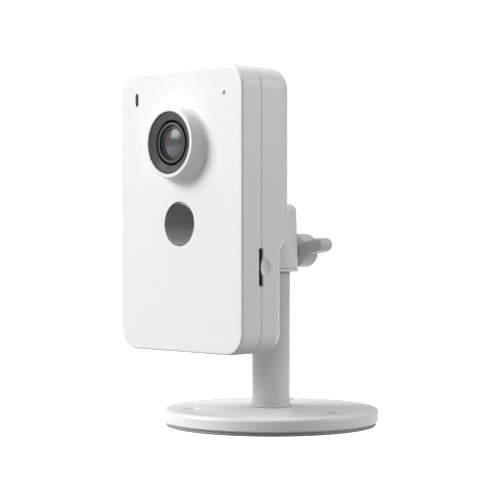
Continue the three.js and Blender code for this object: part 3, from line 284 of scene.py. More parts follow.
def surface(name, color, roughness, spread, grain, depth, metallic=0.0, mottle=0.06):
    """A material with mottled colour, uneven gloss and a fine bump.

    grain is the size of the detail in metres, and spread is how far the roughness wanders."""
    material, nodes, links = node_material(name)
    shader = nodes["Principled BSDF"]
    shader.inputs["Metallic"].default_value = metallic
    place = nodes.new("ShaderNodeTexCoord")
    fine = nodes.new("ShaderNodeTexNoise")
    fine.inputs["Scale"].default_value = 1.0 / grain
    fine.inputs["Detail"].default_value = 3.0
    broad = nodes.new("ShaderNodeTexNoise")
    broad.inputs["Scale"].default_value = 0.08 / grain
    broad.inputs["Detail"].default_value = 4.0
    links.new(place.outputs["Object"], fine.inputs["Vector"])
    links.new(place.outputs["Object"], broad.inputs["Vector"])
    tint = nodes.new("ShaderNodeMix")
    tint.data_type = "RGBA"
    tint.inputs["A"].default_value = (*[c * (1.0 - mottle) for c in color], 1.0)
    tint.inputs["B"].default_value = (*[min(1.0, c * (1.0 + mottle)) for c in color], 1.0)
    links.new(broad.outputs["Fac"], tint.inputs["Factor"])
    links.new(tint.outputs["Result"], shader.inputs["Base Color"])
    gloss = nodes.new("ShaderNodeMapRange")
    gloss.inputs["From Min"].default_value = 0.3
    gloss.inputs["From Max"].default_value = 0.7
    gloss.inputs["To Min"].default_value = roughness - spread
    gloss.inputs["To Max"].default_value = roughness + spread
    links.new(broad.outputs["Fac"], gloss.inputs["Value"])
    links.new(gloss.outputs["Result"], shader.inputs["Roughness"])
    bump = nodes.new("ShaderNodeBump")
    bump.inputs["Strength"].default_value = depth
    bump.inputs["Distance"].default_value = grain * 0.25
    links.new(fine.outputs["Fac"], bump.inputs["Height"])
    links.new(bump.outputs["Normal"], shader.inputs["Normal"])
    return material


pad_rubber = surface("pad_rubber", (0.36, 0.36, 0.36), 0.82, 0.08, 0.4 * MM, 0.35, mottle=0.2)

pad_low, pad_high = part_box("foot_pad")
PAD_RADIUS = pad_high.x
PAD_EDGE = 0.25 * MM
foot_pad = turned("foot_pad_rubber", [
    (0.0, pad_low.z),
    (PAD_RADIUS - PAD_EDGE, pad_low.z),
    (PAD_RADIUS, pad_low.z + PAD_EDGE),
    (PAD_RADIUS, pad_high.z - PAD_EDGE),
    (PAD_RADIUS - PAD_EDGE, pad_high.z),
    (0.0, pad_high.z),
], 144)
HOLE_CIRCLE = 29.0 * MM
SCREW_BORE = 2.0 * MM
SINK_RADIUS = 3.1 * MM
hole_places = [
    (HOLE_CIRCLE * math.cos(math.radians(turn)), HOLE_CIRCLE * math.sin(math.radians(turn)))
    for turn in (0.0, 120.0, 240.0)
]


def round_tool(radius, low, high, x, y, sides=40, axis="Z"):
    """A plain round cutter along the axis; x and y are its place across it."""
    centre = (x, y, 0.0) if axis == "Z" else (x, 0.0, y)
    return turned("tool", [(0.0, low), (radius, low), (radius, high), (0.0, high)], sides, axis, centre)


carve(foot_pad, [
    round_tool(SINK_RADIUS, pad_low.z - MM, pad_high.z + MM, x, y)
    for x, y in hole_places
])
smooth(foot_pad)
finish_piece(foot_pad, pad_rubber, "stand", "rubber", "foot_pad")


# ---------------------------------------------------------------------------------------------
# Base: one white moulding, a slightly crowned disc with a soft rolled rim, hollow underneath,
# with three countersunk holes for wall screws and a round opening where the pole's foot goes in.
def white_moulding(name, shade=0.84):
    """White injection-moulded plastic: satin, with a fine spark grain and faint flow marks."""
    return surface(name, (shade, shade, shade * 0.995), 0.42, 0.05, 0.22 * MM, 0.10, mottle=0.012)


stand_plastic = white_moulding("stand_plastic")

base_low, base_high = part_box("base_disc")
BASE_RADIUS = base_high.x
CROWN = 0.35 * MM
BASE_TOP = base_high.z - CROWN
BASE_ROLL = 1.5 * MM
BASE_SKIN = 2.0 * MM
BASE_CHAMFER = 0.5 * MM
POLE_OPENING = 5.9 * MM
POST_RADIUS = 4.4 * MM
crown = [
    (r * MM, BASE_TOP + CROWN * (1.0 - (r * MM / BASE_RADIUS) ** 2))
    for r in (35.6, 33, 29, 24, 18, 12)
]
base_disc = turned("base_moulding", [
    (POLE_OPENING, BASE_TOP - BASE_SKIN),
    (BASE_RADIUS - BASE_SKIN - MM, BASE_TOP - BASE_SKIN),
    (BASE_RADIUS - BASE_SKIN, BASE_TOP - BASE_SKIN - MM),
    (BASE_RADIUS - BASE_SKIN, base_low.z),
    (BASE_RADIUS - BASE_CHAMFER, base_low.z),
    (BASE_RADIUS, base_low.z + BASE_CHAMFER),
    *curve_points(BASE_RADIUS - BASE_ROLL, BASE_TOP - BASE_ROLL, BASE_ROLL, 0, 84, 8),
    *crown,
    (POLE_OPENING, BASE_TOP + CROWN),
], 192)
hole_posts = [
    round_tool(POST_RADIUS, base_low.z, BASE_TOP - BASE_SKIN + 0.5 * MM, x, y)
    for x, y in hole_places
]
carve(base_disc, hole_posts, "UNION")
for x, y in hole_places:
    sink = turned("sink", [
        (0.0, 0.0),
        (SCREW_BORE, 0.0),
        (SCREW_BORE, BASE_TOP - 1.9 * MM),
        (SINK_RADIUS, BASE_TOP - 1.0 * MM),
        (SINK_RADIUS, BASE_TOP + 1.5 * MM),
        (0.0, BASE_TOP + 1.5 * MM),
    ], 48, "Z", (x, y, 0.0))
    carve(base_disc, [sink])
smooth(base_disc, 28.0)
finish_piece(base_disc, stand_plastic, "stand", "white_plastic", "base_disc")


# ---------------------------------------------------------------------------------------------
# Pole: a white moulded tube with a small flared foot, screwed to the base from below. Its top
# ends in a shouldered pin that the head turns on.
pole_low, pole_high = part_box("pole")
plate_low, plate_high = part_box("head_plate")
POLE_RADIUS = 6.72 * MM
FLARE = 0.8 * MM
POLE_FOOT = base_high.z + 0.08 * MM
POLE_TOP = plate_low.z - 0.1 * MM
PIN_RADIUS = 3.2 * MM
TENON_RADIUS = 5.7 * MM
pole = turned("pole_tube", [
    (0.0, pole_low.z),
    (TENON_RADIUS, pole_low.z),
    (TENON_RADIUS, POLE_FOOT),
    (POLE_RADIUS + FLARE - 0.15 * MM, POLE_FOOT),
    (POLE_RADIUS + FLARE, POLE_FOOT + 0.12 * MM),
    *curve_points(POLE_RADIUS + FLARE, POLE_FOOT + 0.3 * MM + FLARE, FLARE, 268, 180, 12),
    (POLE_RADIUS, 20.0 * MM),
    (POLE_RADIUS, 35.0 * MM),
    (POLE_RADIUS, POLE_TOP - 0.35 * MM),
    *curve_points(POLE_RADIUS - 0.3 * MM, POLE_TOP - 0.3 * MM, 0.3 * MM, 20, 90, 3),
    (PIN_RADIUS, POLE_TOP),
    (PIN_RADIUS, pole_high.z),
    (0.0, pole_high.z),
], 96)
smooth(pole, 30.0)
# Painted shade: the pole's grey (0.6 against the case's 0.86) stands in for the shade the case casts on
# it.
pole_plastic_painted_shade = white_moulding("pole_plastic_painted_shade", 0.6)
finish_piece(pole, pole_plastic_painted_shade, "stand", "white_plastic", "pole")


# ---------------------------------------------------------------------------------------------
# Head plate: a thin white ring that closes the head from below; two screws hold it, and the
# head turns on the pole with it. It stands a little proud all round.
RIM_RADIUS = plate_high.x
RIM_EDGE = 0.35 * MM
PIN_HOLE = 3.4 * MM
HEAD_SCREW_HOLE = 0.95 * MM
head_plate = turned("head_plate_ring", [
    (PIN_HOLE, plate_low.z),
    (RIM_RADIUS - RIM_EDGE, plate_low.z),
    *curve_points(RIM_RADIUS - RIM_EDGE, plate_low.z + RIM_EDGE, RIM_EDGE, -70, 0, 4),
    *curve_points(RIM_RADIUS - RIM_EDGE, plate_high.z - RIM_EDGE, RIM_EDGE, 0, 90, 5),
    (PIN_HOLE, plate_high.z),
], 96)
screw_places = [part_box(name) for name in ("head_screw_left", "head_screw_right")]
carve(head_plate, [
    round_tool(HEAD_SCREW_HOLE, plate_low.z - MM, plate_high.z + MM, (low.x + high.x) / 2, 0.0, 24)
    for low, high in screw_places
])
smooth(head_plate)
head_plastic = white_moulding("head_plastic", 0.80)
finish_piece(head_plate, head_plastic, "head", "white_plastic", "head_plate")


# ---------------------------------------------------------------------------------------------
# Head: an upright white barrel. The ball goes in from the back through a round bore, and the
# slot at the front lets the ball's neck swing up and down.
shell_low, shell_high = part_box("head_shell")
JOINT = 61.2 * MM
SOCKET_FORWARD = 5.2 * MM
BALL = 4.5 * MM
BORE = BALL + 0.15 * MM
HEAD_TOP_RADIUS = 8.9 * MM
HEAD_FOOT_RADIUS = shell_high.x
HEAD_ROLL = 2.6 * MM
DISC_POCKET = 5.7 * MM
JOINT_AXIS = (0.0, 0.0, JOINT)
BALL_CENTRE = (0.0, -SOCKET_FORWARD, JOINT)
head_shell = turned("head_barrel", [
    (0.0, shell_low.z),
    (HEAD_FOOT_RADIUS - 0.2 * MM, shell_low.z),
    (HEAD_FOOT_RADIUS, shell_low.z + 0.2 * MM),
    (HEAD_FOOT_RADIUS, shell_low.z + 3.0 * MM),
    (HEAD_FOOT_RADIUS - 0.2 * MM, shell_low.z + 9.0 * MM),
    *curve_points(HEAD_TOP_RADIUS - HEAD_ROLL, shell_high.z - HEAD_ROLL, HEAD_ROLL, 2, 90, 12),
    (0.0, shell_high.z),
], 128)
socket_ball = [(0.0, -BORE), *curve_points(0.0, 0.0, BORE, -84, 84, 24), (0.0, BORE)]
tools = [
    turned("tool", socket_ball, 64, "Y", BALL_CENTRE),
    round_tool(BORE, -SOCKET_FORWARD, HEAD_FOOT_RADIUS + MM, 0.0, JOINT, 64, "Y"),
    round_tool(DISC_POCKET, shell_low.z - MM, shell_low.z + 0.85 * MM, 0.0, 0.0, 48),
]
for low, high in screw_places:
    tools.append(round_tool(
        HEAD_SCREW_HOLE, shell_low.z - MM, high.z + 0.5 * MM, (low.x + high.x) / 2, 0.0, 24,
    ))
carve(head_shell, tools)
NECK_SLOT = 2.3 * MM
TILT_LOW = -35
TILT_HIGH = 15
for tilt in range(TILT_LOW, TILT_HIGH + 1, 5):
    neck = round_tool(NECK_SLOT, -20.0 * MM, 0.0, 0.0, 0.0, 40, "Y")
    neck.rotation_euler.x = math.radians(tilt)
    neck.location = BALL_CENTRE
    bpy.context.view_layer.update()
    carve(head_shell, [neck])
smooth(head_shell, 30.0)
finish_piece(head_shell, head_plastic, "head", "white_plastic", "head_shell")


# ---------------------------------------------------------------------------------------------
# Thumb knob: a round hub with a bar-shaped wing moulded in one piece round the clamp screw.
# All its edges are well rounded for the fingers.
knob_low, knob_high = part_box("thumb_knob")
KNOB_FRONT = knob_low.y
KNOB_BACK = knob_high.y
KNOB_RADIUS = 6.0 * MM
WING_SPAN = 13.0 * MM
WING_HALF = 2.45 * MM
WING_TURN = math.radians(-11.0)
KNOB_EDGE = 1.2 * MM
KNOB_SLOPE = 1.6 * MM
hub = turned("knob_hub", [
    (0.0, KNOB_FRONT),
    (KNOB_RADIUS - KNOB_SLOPE, KNOB_FRONT),
    (KNOB_RADIUS, KNOB_FRONT + KNOB_SLOPE),
    (KNOB_RADIUS, KNOB_BACK - KNOB_EDGE),
    *curve_points(KNOB_RADIUS - KNOB_EDGE, KNOB_BACK - KNOB_EDGE, KNOB_EDGE, 10, 90, 6),
    (0.0, KNOB_BACK),
], 96, "Y", JOINT_AXIS)
wing_profile = []
for side in (1.0, -1.0):
    for step in range(13):
        angle = math.radians(-90.0 + 15.0 * step)
        wing_profile.append((
            side * (WING_SPAN - WING_HALF + WING_HALF * math.cos(angle)),
            side * WING_HALF * math.sin(angle),
        ))
WING_LEVELS = ((0.7, 2.2), (0.2, 2.45), (0.0, 3.0), (0.0, 7.8), (0.2, 8.35), (0.7, 8.6))
reach = WING_SPAN - WING_HALF
builder = bmesh.new()
wing_rings = []
for inset, y in WING_LEVELS:
    shrink = inset * MM
    ring = []
    for x, z in wing_profile:
        core = max(-reach, min(reach, x))
        out = Vector((x - core, z))
        out *= (WING_HALF - shrink) / WING_HALF
        wide = Vector((core + out.x, out.y))
        ring.append(builder.verts.new((
            wide.x * math.cos(WING_TURN) + wide.y * math.sin(WING_TURN),
            KNOB_FRONT + y * MM,
            JOINT - wide.x * math.sin(WING_TURN) + wide.y * math.cos(WING_TURN),
        )))
    wing_rings.append(ring)
for low, high in zip(wing_rings, wing_rings[1:]):
    bridge(builder, low, high)
builder.faces.new(wing_rings[0])
builder.faces.new(wing_rings[-1])
carve(hub, [close_mesh(builder, "wing")], "UNION")
blend_step = hub.modifiers.new("blend", "REMESH")
blend_step.mode = "VOXEL"
blend_step.voxel_size = 0.22 * MM
relax = hub.modifiers.new("relax", "SMOOTH")
relax.factor = 0.5
relax.iterations = 5
apply_steps(hub)
hub.name = "knob_moulding"
CLAMP_BORE = 1.95 * MM
carve(hub, [round_tool(CLAMP_BORE, KNOB_FRONT - MM, KNOB_FRONT + 6.6 * MM, 0.0, JOINT, 40, "Y")])
smooth(hub, 50.0)
# Painted shade: the knob's grey (0.54 against the case's 0.86) stands in for the shade the case and
# head cast on it.
knob_plastic_painted_shade = white_moulding("knob_plastic_painted_shade", 0.54)
finish_piece(hub, knob_plastic_painted_shade, "knob", "white_plastic", "thumb_knob")


# ---------------------------------------------------------------------------------------------
# Clamp screw and head plug: a zinc-plated screw moulded into the knob, and the white plug that
# closes the bore and guides the screw. A clip behind the plug holds the screw lengthwise.
plated_steel = surface("plated_steel", (0.55, 0.55, 0.56), 0.3, 0.1, 0.5 * MM, 0.12, 1.0, 0.1)
turned_brass = surface("turned_brass", (0.66, 0.5, 0.24), 0.32, 0.1, 0.5 * MM, 0.15, 1.0, 0.12)

plug_low, plug_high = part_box("head_plug")
PLUG_RADIUS = plug_high.x
head_plug = turned("head_plug_ring", [
    (CLAMP_BORE, plug_low.y),
    (PLUG_RADIUS, plug_low.y),
    (PLUG_RADIUS, plug_high.y - 0.4 * MM),
    (PLUG_RADIUS - 0.4 * MM, plug_high.y),
    (3.4 * MM, plug_high.y),
    (3.2 * MM, plug_high.y - 0.3 * MM),
    (CLAMP_BORE, plug_high.y - 0.3 * MM),
], 64, "Y", JOINT_AXIS)
smooth(head_plug)
finish_piece(head_plug, head_plastic, "head", "white_plastic", "head_plug")

screw_low, screw_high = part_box("clamp_screw")
SCREW_RADIUS = 1.78 * MM
PITCH = 0.7 * MM
THREAD_DEPTH = 0.25 * MM
SCREW_TAPER = 0.5 * MM
profile = [(0.0, screw_low.y), (SCREW_RADIUS - SCREW_TAPER, screw_low.y)]
y = screw_low.y + SCREW_TAPER
while y < screw_high.y - PITCH:
    profile.append((SCREW_RADIUS, y))
    profile.append((SCREW_RADIUS - THREAD_DEPTH, y + PITCH / 2))
    y += PITCH
profile += [(SCREW_RADIUS - THREAD_DEPTH, screw_high.y), (0.0, screw_high.y)]
clamp_screw = turned("clamp_screw_thread", profile, 40, "Y", JOINT_AXIS)
smooth(clamp_screw, 40.0)
finish_piece(clamp_screw, plated_steel, "knob", "steel", "clamp_screw")


# ---------------------------------------------------------------------------------------------
# Ball stud and lock ring: a polished steel ball with a turned neck and a threaded end that goes
# into the camera; a ring nut on the thread locks it. The nut has grip notches round its edge.
ball_steel = surface("ball_steel", (0.5, 0.5, 0.51), 0.2, 0.06, 0.3 * MM, 0.05, 1.0, 0.08)
stud_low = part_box("ball_stud")[0]
ring_low, ring_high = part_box("lock_ring")
NECK = 2.0 * MM
THREAD = 2.92 * MM
BALL_FLAT = 0.12 * MM
stud_tip = stud_low.y + SOCKET_FORWARD
thread_start = ring_high.y + SOCKET_FORWARD + 1.1 * MM
neck_join = -math.sqrt(BALL**2 - NECK**2)
profile = [(0.0, stud_tip), (THREAD - 0.6 * MM, stud_tip)]
y = stud_tip + 0.5 * MM
STUD_PITCH = 0.9 * MM
STUD_THREAD_DEPTH = 0.35 * MM
while y < thread_start - 1.6 * MM:
    profile.append((THREAD, y))
    profile.append((THREAD - STUD_THREAD_DEPTH, y + STUD_PITCH / 2))
    y += STUD_PITCH
profile += [
    (THREAD, thread_start - 0.9 * MM),
    (NECK, thread_start),
    (NECK, neck_join - 0.5 * MM),
    (NECK * 1.08, neck_join),
    *curve_points(0.0, 0.0, BALL, math.degrees(math.asin(neck_join / BALL)) + 6, 80, 22),
    (1.0 * MM, BALL - BALL_FLAT),
    (0.0, BALL - BALL_FLAT),
]
ball_stud = turned("ball_stud_steel", profile, 72, "Y", BALL_CENTRE)
smooth(ball_stud, 35.0)
finish_piece(ball_stud, ball_steel, "stud", "steel", "ball_stud")

RING_RADIUS = ring_high.x
RING_BORE = 3.1 * MM
RING_CHAMFER = 0.3 * MM
lock_ring = turned("lock_ring_nut", [
    (RING_BORE, ring_low.y),
    (RING_RADIUS - RING_CHAMFER, ring_low.y),
    (RING_RADIUS, ring_low.y + RING_CHAMFER),
    (RING_RADIUS, ring_high.y - RING_CHAMFER),
    (RING_RADIUS - RING_CHAMFER, ring_high.y),
    (RING_BORE, ring_high.y),
], 96, "Y", JOINT_AXIS)
NOTCHES = 12
NOTCH_RADIUS = 0.45 * MM
NOTCH_CIRCLE = RING_RADIUS + 0.15 * MM
notches = []
for i in range(NOTCHES):
    angle = 2 * math.pi * i / NOTCHES
    x = NOTCH_CIRCLE * math.cos(angle)
    z = JOINT + NOTCH_CIRCLE * math.sin(angle)
    notches.append(round_tool(NOTCH_RADIUS, ring_low.y - MM, ring_high.y + MM, x, z, 16, "Y"))
carve(lock_ring, notches)
smooth(lock_ring)
finish_piece(lock_ring, head_plastic, "stud", "white_plastic", "lock_ring")


# ---------------------------------------------------------------------------------------------
# Front shell: the white front half of the case. A flat face with softly broken edges, the lens
# collar standing out on a flared foot, and openings for window, status light and microphone.
front_low, front_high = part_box("front_shell")
rear_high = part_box("rear_shell")[1]
baffle_low, baffle_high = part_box("lens_baffle")
window_low, window_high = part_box("infrared_window")
light_low, light_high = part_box("status_guide")
mic_low, mic_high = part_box("microphone")
HALF_WIDTH = front_high.x
CASE_MIDDLE = (front_low.z + front_high.z) / 2
HALF_HEIGHT = (front_high.z - front_low.z) / 2
CASE_CORNER = 7.5 * MM
CASE_WALL = 2.0 * MM
COLLAR_HEIGHT = 4.9 * MM
FACE = front_low.y + COLLAR_HEIGHT
SEAM = FACE + 8.8 * MM
SEAM_HALF = 0.07 * MM
LENS_Z = (baffle_low.z + baffle_high.z) / 2
LENS_AXIS = (0.0, 0.0, LENS_Z)
WINDOW_Z = (window_low.z + window_high.z) / 2
SIGNAL_Z = (light_low.z + light_high.z) / 2
LIGHT_X = (light_low.x + light_high.x) / 2
MIC_X = (mic_low.x + mic_high.x) / 2


def case_ring(inset, depth, levels=(), corner_steps=14):
    """One closed ring of the case outline, drawn in by inset.

    depth gives y from z. levels are extra heights with a point on both upright sides."""
    w = HALF_WIDTH - inset
    h = HALF_HEIGHT - inset
    r = CASE_CORNER - inset
    points = []
    corners = ((1, -1, -90), (1, 1, 0), (-1, 1, 90), (-1, -1, 180))
    for index, (sx, sz, start) in enumerate(corners):
        for step in range(corner_steps + 1):
            angle = math.radians(start + 90.0 * step / corner_steps)
            points.append((sx * (w - r) + r * math.cos(angle), sz * (h - r) + r * math.sin(angle)))
        if index == 0:
            points += [(w, z) for z in levels]
        if index == 2:
            points += [(-w, z) for z in reversed(levels)]
    return [(x, depth(z), CASE_MIDDLE + z) for x, z in points]


def case_solid(name, rings, strip_end=False):
    """A closed solid through case rings.

    strip_end closes the last ring with level strips, for a back whose depth changes with height."""
    builder = bmesh.new()
    loops = [[builder.verts.new(point) for point in ring] for ring in rings]
    for low, high in zip(loops, loops[1:]):
        bridge(builder, low, high)
    builder.faces.new(loops[0])
    last = loops[-1]
    if strip_end:
        half = len(last) // 2
        right = last[:half]
        left = list(reversed(last[half:]))
        for i in range(half - 1):
            builder.faces.new((right[i], right[i + 1], left[i + 1], left[i]))
    else:
        builder.faces.new(last)
    return close_mesh(builder, name)


def box_tool(x0, x1, y0, y1, z0, z1):
    """A square-edged cutter or block between two corners."""
    points = [(x, y, z) for x in (x0, x1) for y in (y0, y1) for z in (z0, z1)]
    faces = ((0, 1, 3, 2), (4, 6, 7, 5), (0, 4, 5, 1), (2, 3, 7, 6), (0, 2, 6, 4), (1, 5, 7, 3))
    mesh = bpy.data.meshes.new("tool")
    mesh.from_pydata(points, [], faces)
    return new_piece("tool", mesh)


def slot_tool(width, height, y0, y1, x, z, steps=10):
    """A cutter along Y with a stadium section, round at its short ends."""
    upright = height > width
    radius = min(width, height) / 2
    reach = max(width, height) / 2 - radius
    outline = []
    for side in (1.0, -1.0):
        for step in range(steps + 1):
            angle = math.radians(-90.0 + 180.0 * step / steps)
            outline.append((side * (reach + radius * math.cos(angle)), side * radius * math.sin(angle)))
    if upright:
        outline = [(-b, a) for a, b in outline]
    builder = bmesh.new()
    rings = [[builder.verts.new((x + a, y, z + b)) for a, b in outline] for y in (y0, y1)]
    bridge(builder, rings[0], rings[1])
    builder.faces.new(rings[0])
    builder.faces.new(rings[1])
    return close_mesh(builder, "tool")


def level(value):
    """A depth that is the same at every height."""
    return lambda z: value


FACE_EDGE = 0.85 * MM
SEAM_EDGE = 0.16 * MM
front_rings = [
    case_ring(SEAM_EDGE, level(SEAM - SEAM_HALF)),
    case_ring(0.0, level(SEAM - SEAM_HALF - SEAM_EDGE)),
]
for step in range(9):
    angle = math.radians(90.0 * step / 8)
    inset = FACE_EDGE * (1.0 - math.cos(angle))
    front_rings.append(case_ring(inset, level(FACE + FACE_EDGE * (1.0 - math.sin(angle)))))
front_shell = case_solid("front_moulding", front_rings)
LIP = 1.7 * MM
lip = case_solid("lip", [
    case_ring(CASE_WALL + 0.15 * MM, level(SEAM - 2.5 * MM)),
    case_ring(CASE_WALL + 0.15 * MM, level(SEAM + LIP - 0.3 * MM)),
    case_ring(CASE_WALL + 0.4 * MM, level(SEAM + LIP - 0.15 * MM)),
])
COLLAR_OPENING = 10.45 * MM
COLLAR_RADIUS = COLLAR_OPENING + 1.35 * MM
COLLAR_FLARE = 2.4 * MM
COLLAR_LIP = 0.45 * MM
collar_foot = COLLAR_RADIUS + 0.45 * MM + COLLAR_FLARE
flare_centre = COLLAR_RADIUS + 0.4 * MM + COLLAR_FLARE
collar = turned("collar", [
    (0.0, FACE + MM),
    (collar_foot, FACE + MM),
    (collar_foot, FACE - 0.015 * MM),
    *curve_points(flare_centre, FACE - COLLAR_FLARE, COLLAR_FLARE, 96, 178, 12),
    *curve_points(COLLAR_RADIUS - COLLAR_LIP, front_low.y + COLLAR_LIP, COLLAR_LIP, 0, -90, 6),
    (0.0, front_low.y),
], 128, "Y", LENS_AXIS)
carve(front_shell, [lip, collar], "UNION")
room = case_solid("room", [
    case_ring(CASE_WALL, level(FACE + CASE_WALL)),
    case_ring(CASE_WALL, level(SEAM - 2.35 * MM)),
])
mouth = case_solid("mouth", [
    case_ring(CASE_WALL + 1.05 * MM, level(FACE + CASE_WALL + 0.5 * MM)),
    case_ring(CASE_WALL + 1.05 * MM, level(SEAM + 3.0 * MM)),
])
carve(front_shell, [room, mouth])
WINDOW_OPENING = 7.46 * MM
SOUND_HOLE = 0.7 * MM
CUT_END = FACE + 3.0 * MM
carve(front_shell, [
    round_tool(COLLAR_OPENING, front_low.y - MM, CUT_END, 0.0, LENS_Z, 128, "Y"),
    round_tool(WINDOW_OPENING, FACE - MM, CUT_END, 0.0, WINDOW_Z, 96, "Y"),
    slot_tool(1.6 * MM, 4.5 * MM, FACE - MM, CUT_END, LIGHT_X, SIGNAL_Z),
    round_tool(SOUND_HOLE, FACE - MM, CUT_END, MIC_X, SIGNAL_Z, 32, "Y"),
])
socket_low, socket_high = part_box("card_socket")
SLOT_Z = (socket_low.z + socket_high.z) / 2
SLOT_HALF = 6.2 * MM
SLOT_FRONT = SEAM - 1.25 * MM
SLOT_WIDTH = 2.0 * MM


def card_slot():
    """The slot for the memory card, cut through both halves at the seam."""
    return box_tool(
        HALF_WIDTH - 4.1 * MM, HALF_WIDTH + MM, SLOT_FRONT, SLOT_FRONT + SLOT_WIDTH,
        SLOT_Z - SLOT_HALF, SLOT_Z + SLOT_HALF,
    )


carve(front_shell, [card_slot()])
smooth(front_shell, 30.0)
case_plastic = white_moulding("case_plastic", 0.86)
finish_piece(front_shell, case_plastic, "camera", "white_plastic", "front_shell")


# ---------------------------------------------------------------------------------------------
# Rear shell: the white back half, with a generous roll round its back edge. Its lower part is
# stepped in, and holds the power socket and the reset button; the boss takes the ball stud.
CASE_BACK = FACE + 23.2 * MM
STEP_DEPTH = 3.6 * MM
STEP_LOW = 35.0 * MM - HALF_HEIGHT
STEP_RISE = 3.2 * MM
BACK_ROLL = 4.4 * MM
STEP_LEVELS = [
    STEP_LOW + STEP_RISE * t
    for t in (-0.45, -0.3, -0.15, 0, 0.14, 0.28, 0.43, 0.57, 0.72, 0.86, 1, 1.15, 1.3, 1.45)
]


def back_depth(shift):
    """y of the back face at a height: a ramp with softened ends between the two flat parts."""
    def depth(z):
        t = (z - STEP_LOW) / STEP_RISE
        t = max(0.0, min(1.0, (t + 0.45) / 1.9))
        rise = t * t * (3.0 - 2.0 * t)
        return CASE_BACK - STEP_DEPTH * (1.0 - rise) + shift
    return depth


def back_rings(inset, start, roll, steps):
    """Rings from the seam to the back face, with the rounded back edge between them."""
    rings = [case_ring(inset, level(start), STEP_LEVELS)]
    wall_end = back_depth(-inset - roll)
    rings.append(case_ring(inset, wall_end, STEP_LEVELS))
    for step in range(1, steps + 1):
        angle = math.radians(90.0 * step / steps)
        draw = inset + roll * (1.0 - math.cos(angle))
        rings.append(case_ring(draw, back_depth(-inset - roll * (1.0 - math.sin(angle))), STEP_LEVELS))
    return rings


outer = back_rings(0.0, SEAM + SEAM_HALF + SEAM_EDGE, BACK_ROLL, 12)
outer.insert(0, case_ring(SEAM_EDGE, level(SEAM + SEAM_HALF), STEP_LEVELS))
rear_shell = case_solid("rear_moulding", outer, True)
hollow = case_solid("hollow", back_rings(CASE_WALL, SEAM - 3.0 * MM, BACK_ROLL - CASE_WALL, 6), True)
carve(rear_shell, [hollow])
insert_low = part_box("mount_insert")[0]
BOSS_RADIUS = 6.5 * MM
BOSS_BACK = rear_high.y
BOSS_BLEND = 0.9 * MM
STEP_FACE = CASE_BACK - STEP_DEPTH
boss = turned("boss", [
    (0.0, insert_low.y - 1.7 * MM),
    (BOSS_RADIUS, insert_low.y - 1.7 * MM),
    (BOSS_RADIUS, BOSS_BACK - 0.6 * MM),
    *curve_points(BOSS_RADIUS - 0.6 * MM, BOSS_BACK - 0.6 * MM, 0.6 * MM, 10, 90, 5),
    (0.0, BOSS_BACK),
], 96, "Y", JOINT_AXIS)
boss_foot = turned("boss_foot", [
    (0.0, STEP_FACE - MM),
    (BOSS_RADIUS + BOSS_BLEND, STEP_FACE - MM),
    (BOSS_RADIUS + BOSS_BLEND, STEP_FACE + 0.02 * MM),
    *curve_points(BOSS_RADIUS + BOSS_BLEND, STEP_FACE + 0.92 * MM, BOSS_BLEND, -90, -180, 6),
    (0.0, STEP_FACE + 0.95 * MM),
], 96, "Y", JOINT_AXIS)
case_screws = sorted(name for name in frame["nodes"] if name.startswith("case_screw"))
POST_OUTER = 3.6 * MM
HEAD_WELL = 2.55 * MM
SHANK_HOLE = 1.35 * MM
posts = []
post_cuts = []
for name in case_screws:
    low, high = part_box(name)
    x = (low.x + high.x) / 2
    z = (low.z + high.z) / 2
    posts.append(round_tool(POST_OUTER, SEAM + 2.7 * MM, high.y + 1.2 * MM, x, z, 32, "Y"))
    post_cuts.append(round_tool(HEAD_WELL, high.y - 1.6 * MM, CASE_BACK + MM, x, z, 40, "Y"))
    post_cuts.append(round_tool(SHANK_HOLE, SEAM, high.y, x, z, 24, "Y"))
carve(rear_shell, [boss, boss_foot, *posts], "UNION")
port_low, port_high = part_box("power_socket")
PORT_Z = (port_low.z + port_high.z) / 2
button_low, button_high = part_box("reset_button")
BUTTON_X = (button_low.x + button_high.x) / 2
speaker_low, speaker_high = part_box("speaker")
SPEAKER_Z = (speaker_low.z + speaker_high.z) / 2
GRILLE_SLOT = 1.2 * MM
GRILLE_PITCH = 2.6 * MM
grille = []
for row in (-2, -1, 0, 1, 2):
    slot_length = (13.0 - 2.4 * abs(row)) * MM
    slot_height = SPEAKER_Z + row * GRILLE_PITCH
    grille.append(slot_tool(
        slot_length, GRILLE_SLOT, CASE_BACK - 3.0 * MM, CASE_BACK + MM, 0.0, slot_height,
    ))
INSERT_HOLE = 4.15 * MM
BUTTON_HOLE = 1.65 * MM
carve(rear_shell, [
    round_tool(INSERT_HOLE, insert_low.y - 0.1 * MM, BOSS_BACK + MM, 0.0, JOINT, 64, "Y"),
    *post_cuts,
    *grille,
    slot_tool(8.4 * MM, 3.6 * MM, STEP_FACE - 3.0 * MM, CASE_BACK, 0.0, PORT_Z),
    round_tool(BUTTON_HOLE, STEP_FACE - 3.0 * MM, CASE_BACK, BUTTON_X, PORT_Z, 32, "Y"),
    card_slot(),
])
SCOOP_RADIUS = 5.2 * MM
SCOOP_DEPTH = 1.1 * MM
SCOOP_BEHIND = 1.0 * MM


def finger_scoop():
    """The hollow beside the slot that lets a fingertip push the card."""
    return turned("scoop", [
        (0.0, -SCOOP_RADIUS),
        *curve_points(0.0, 0.0, SCOOP_RADIUS, -86, 86, 24),
        (0.0, SCOOP_RADIUS),
    ], 64, "Z", (HALF_WIDTH + SCOOP_RADIUS - SCOOP_DEPTH, SEAM + SCOOP_BEHIND, SLOT_Z))


carve(rear_shell, [finger_scoop()])
smooth(rear_shell, 30.0)
finish_piece(rear_shell, case_plastic, "camera", "white_plastic", "rear_shell")


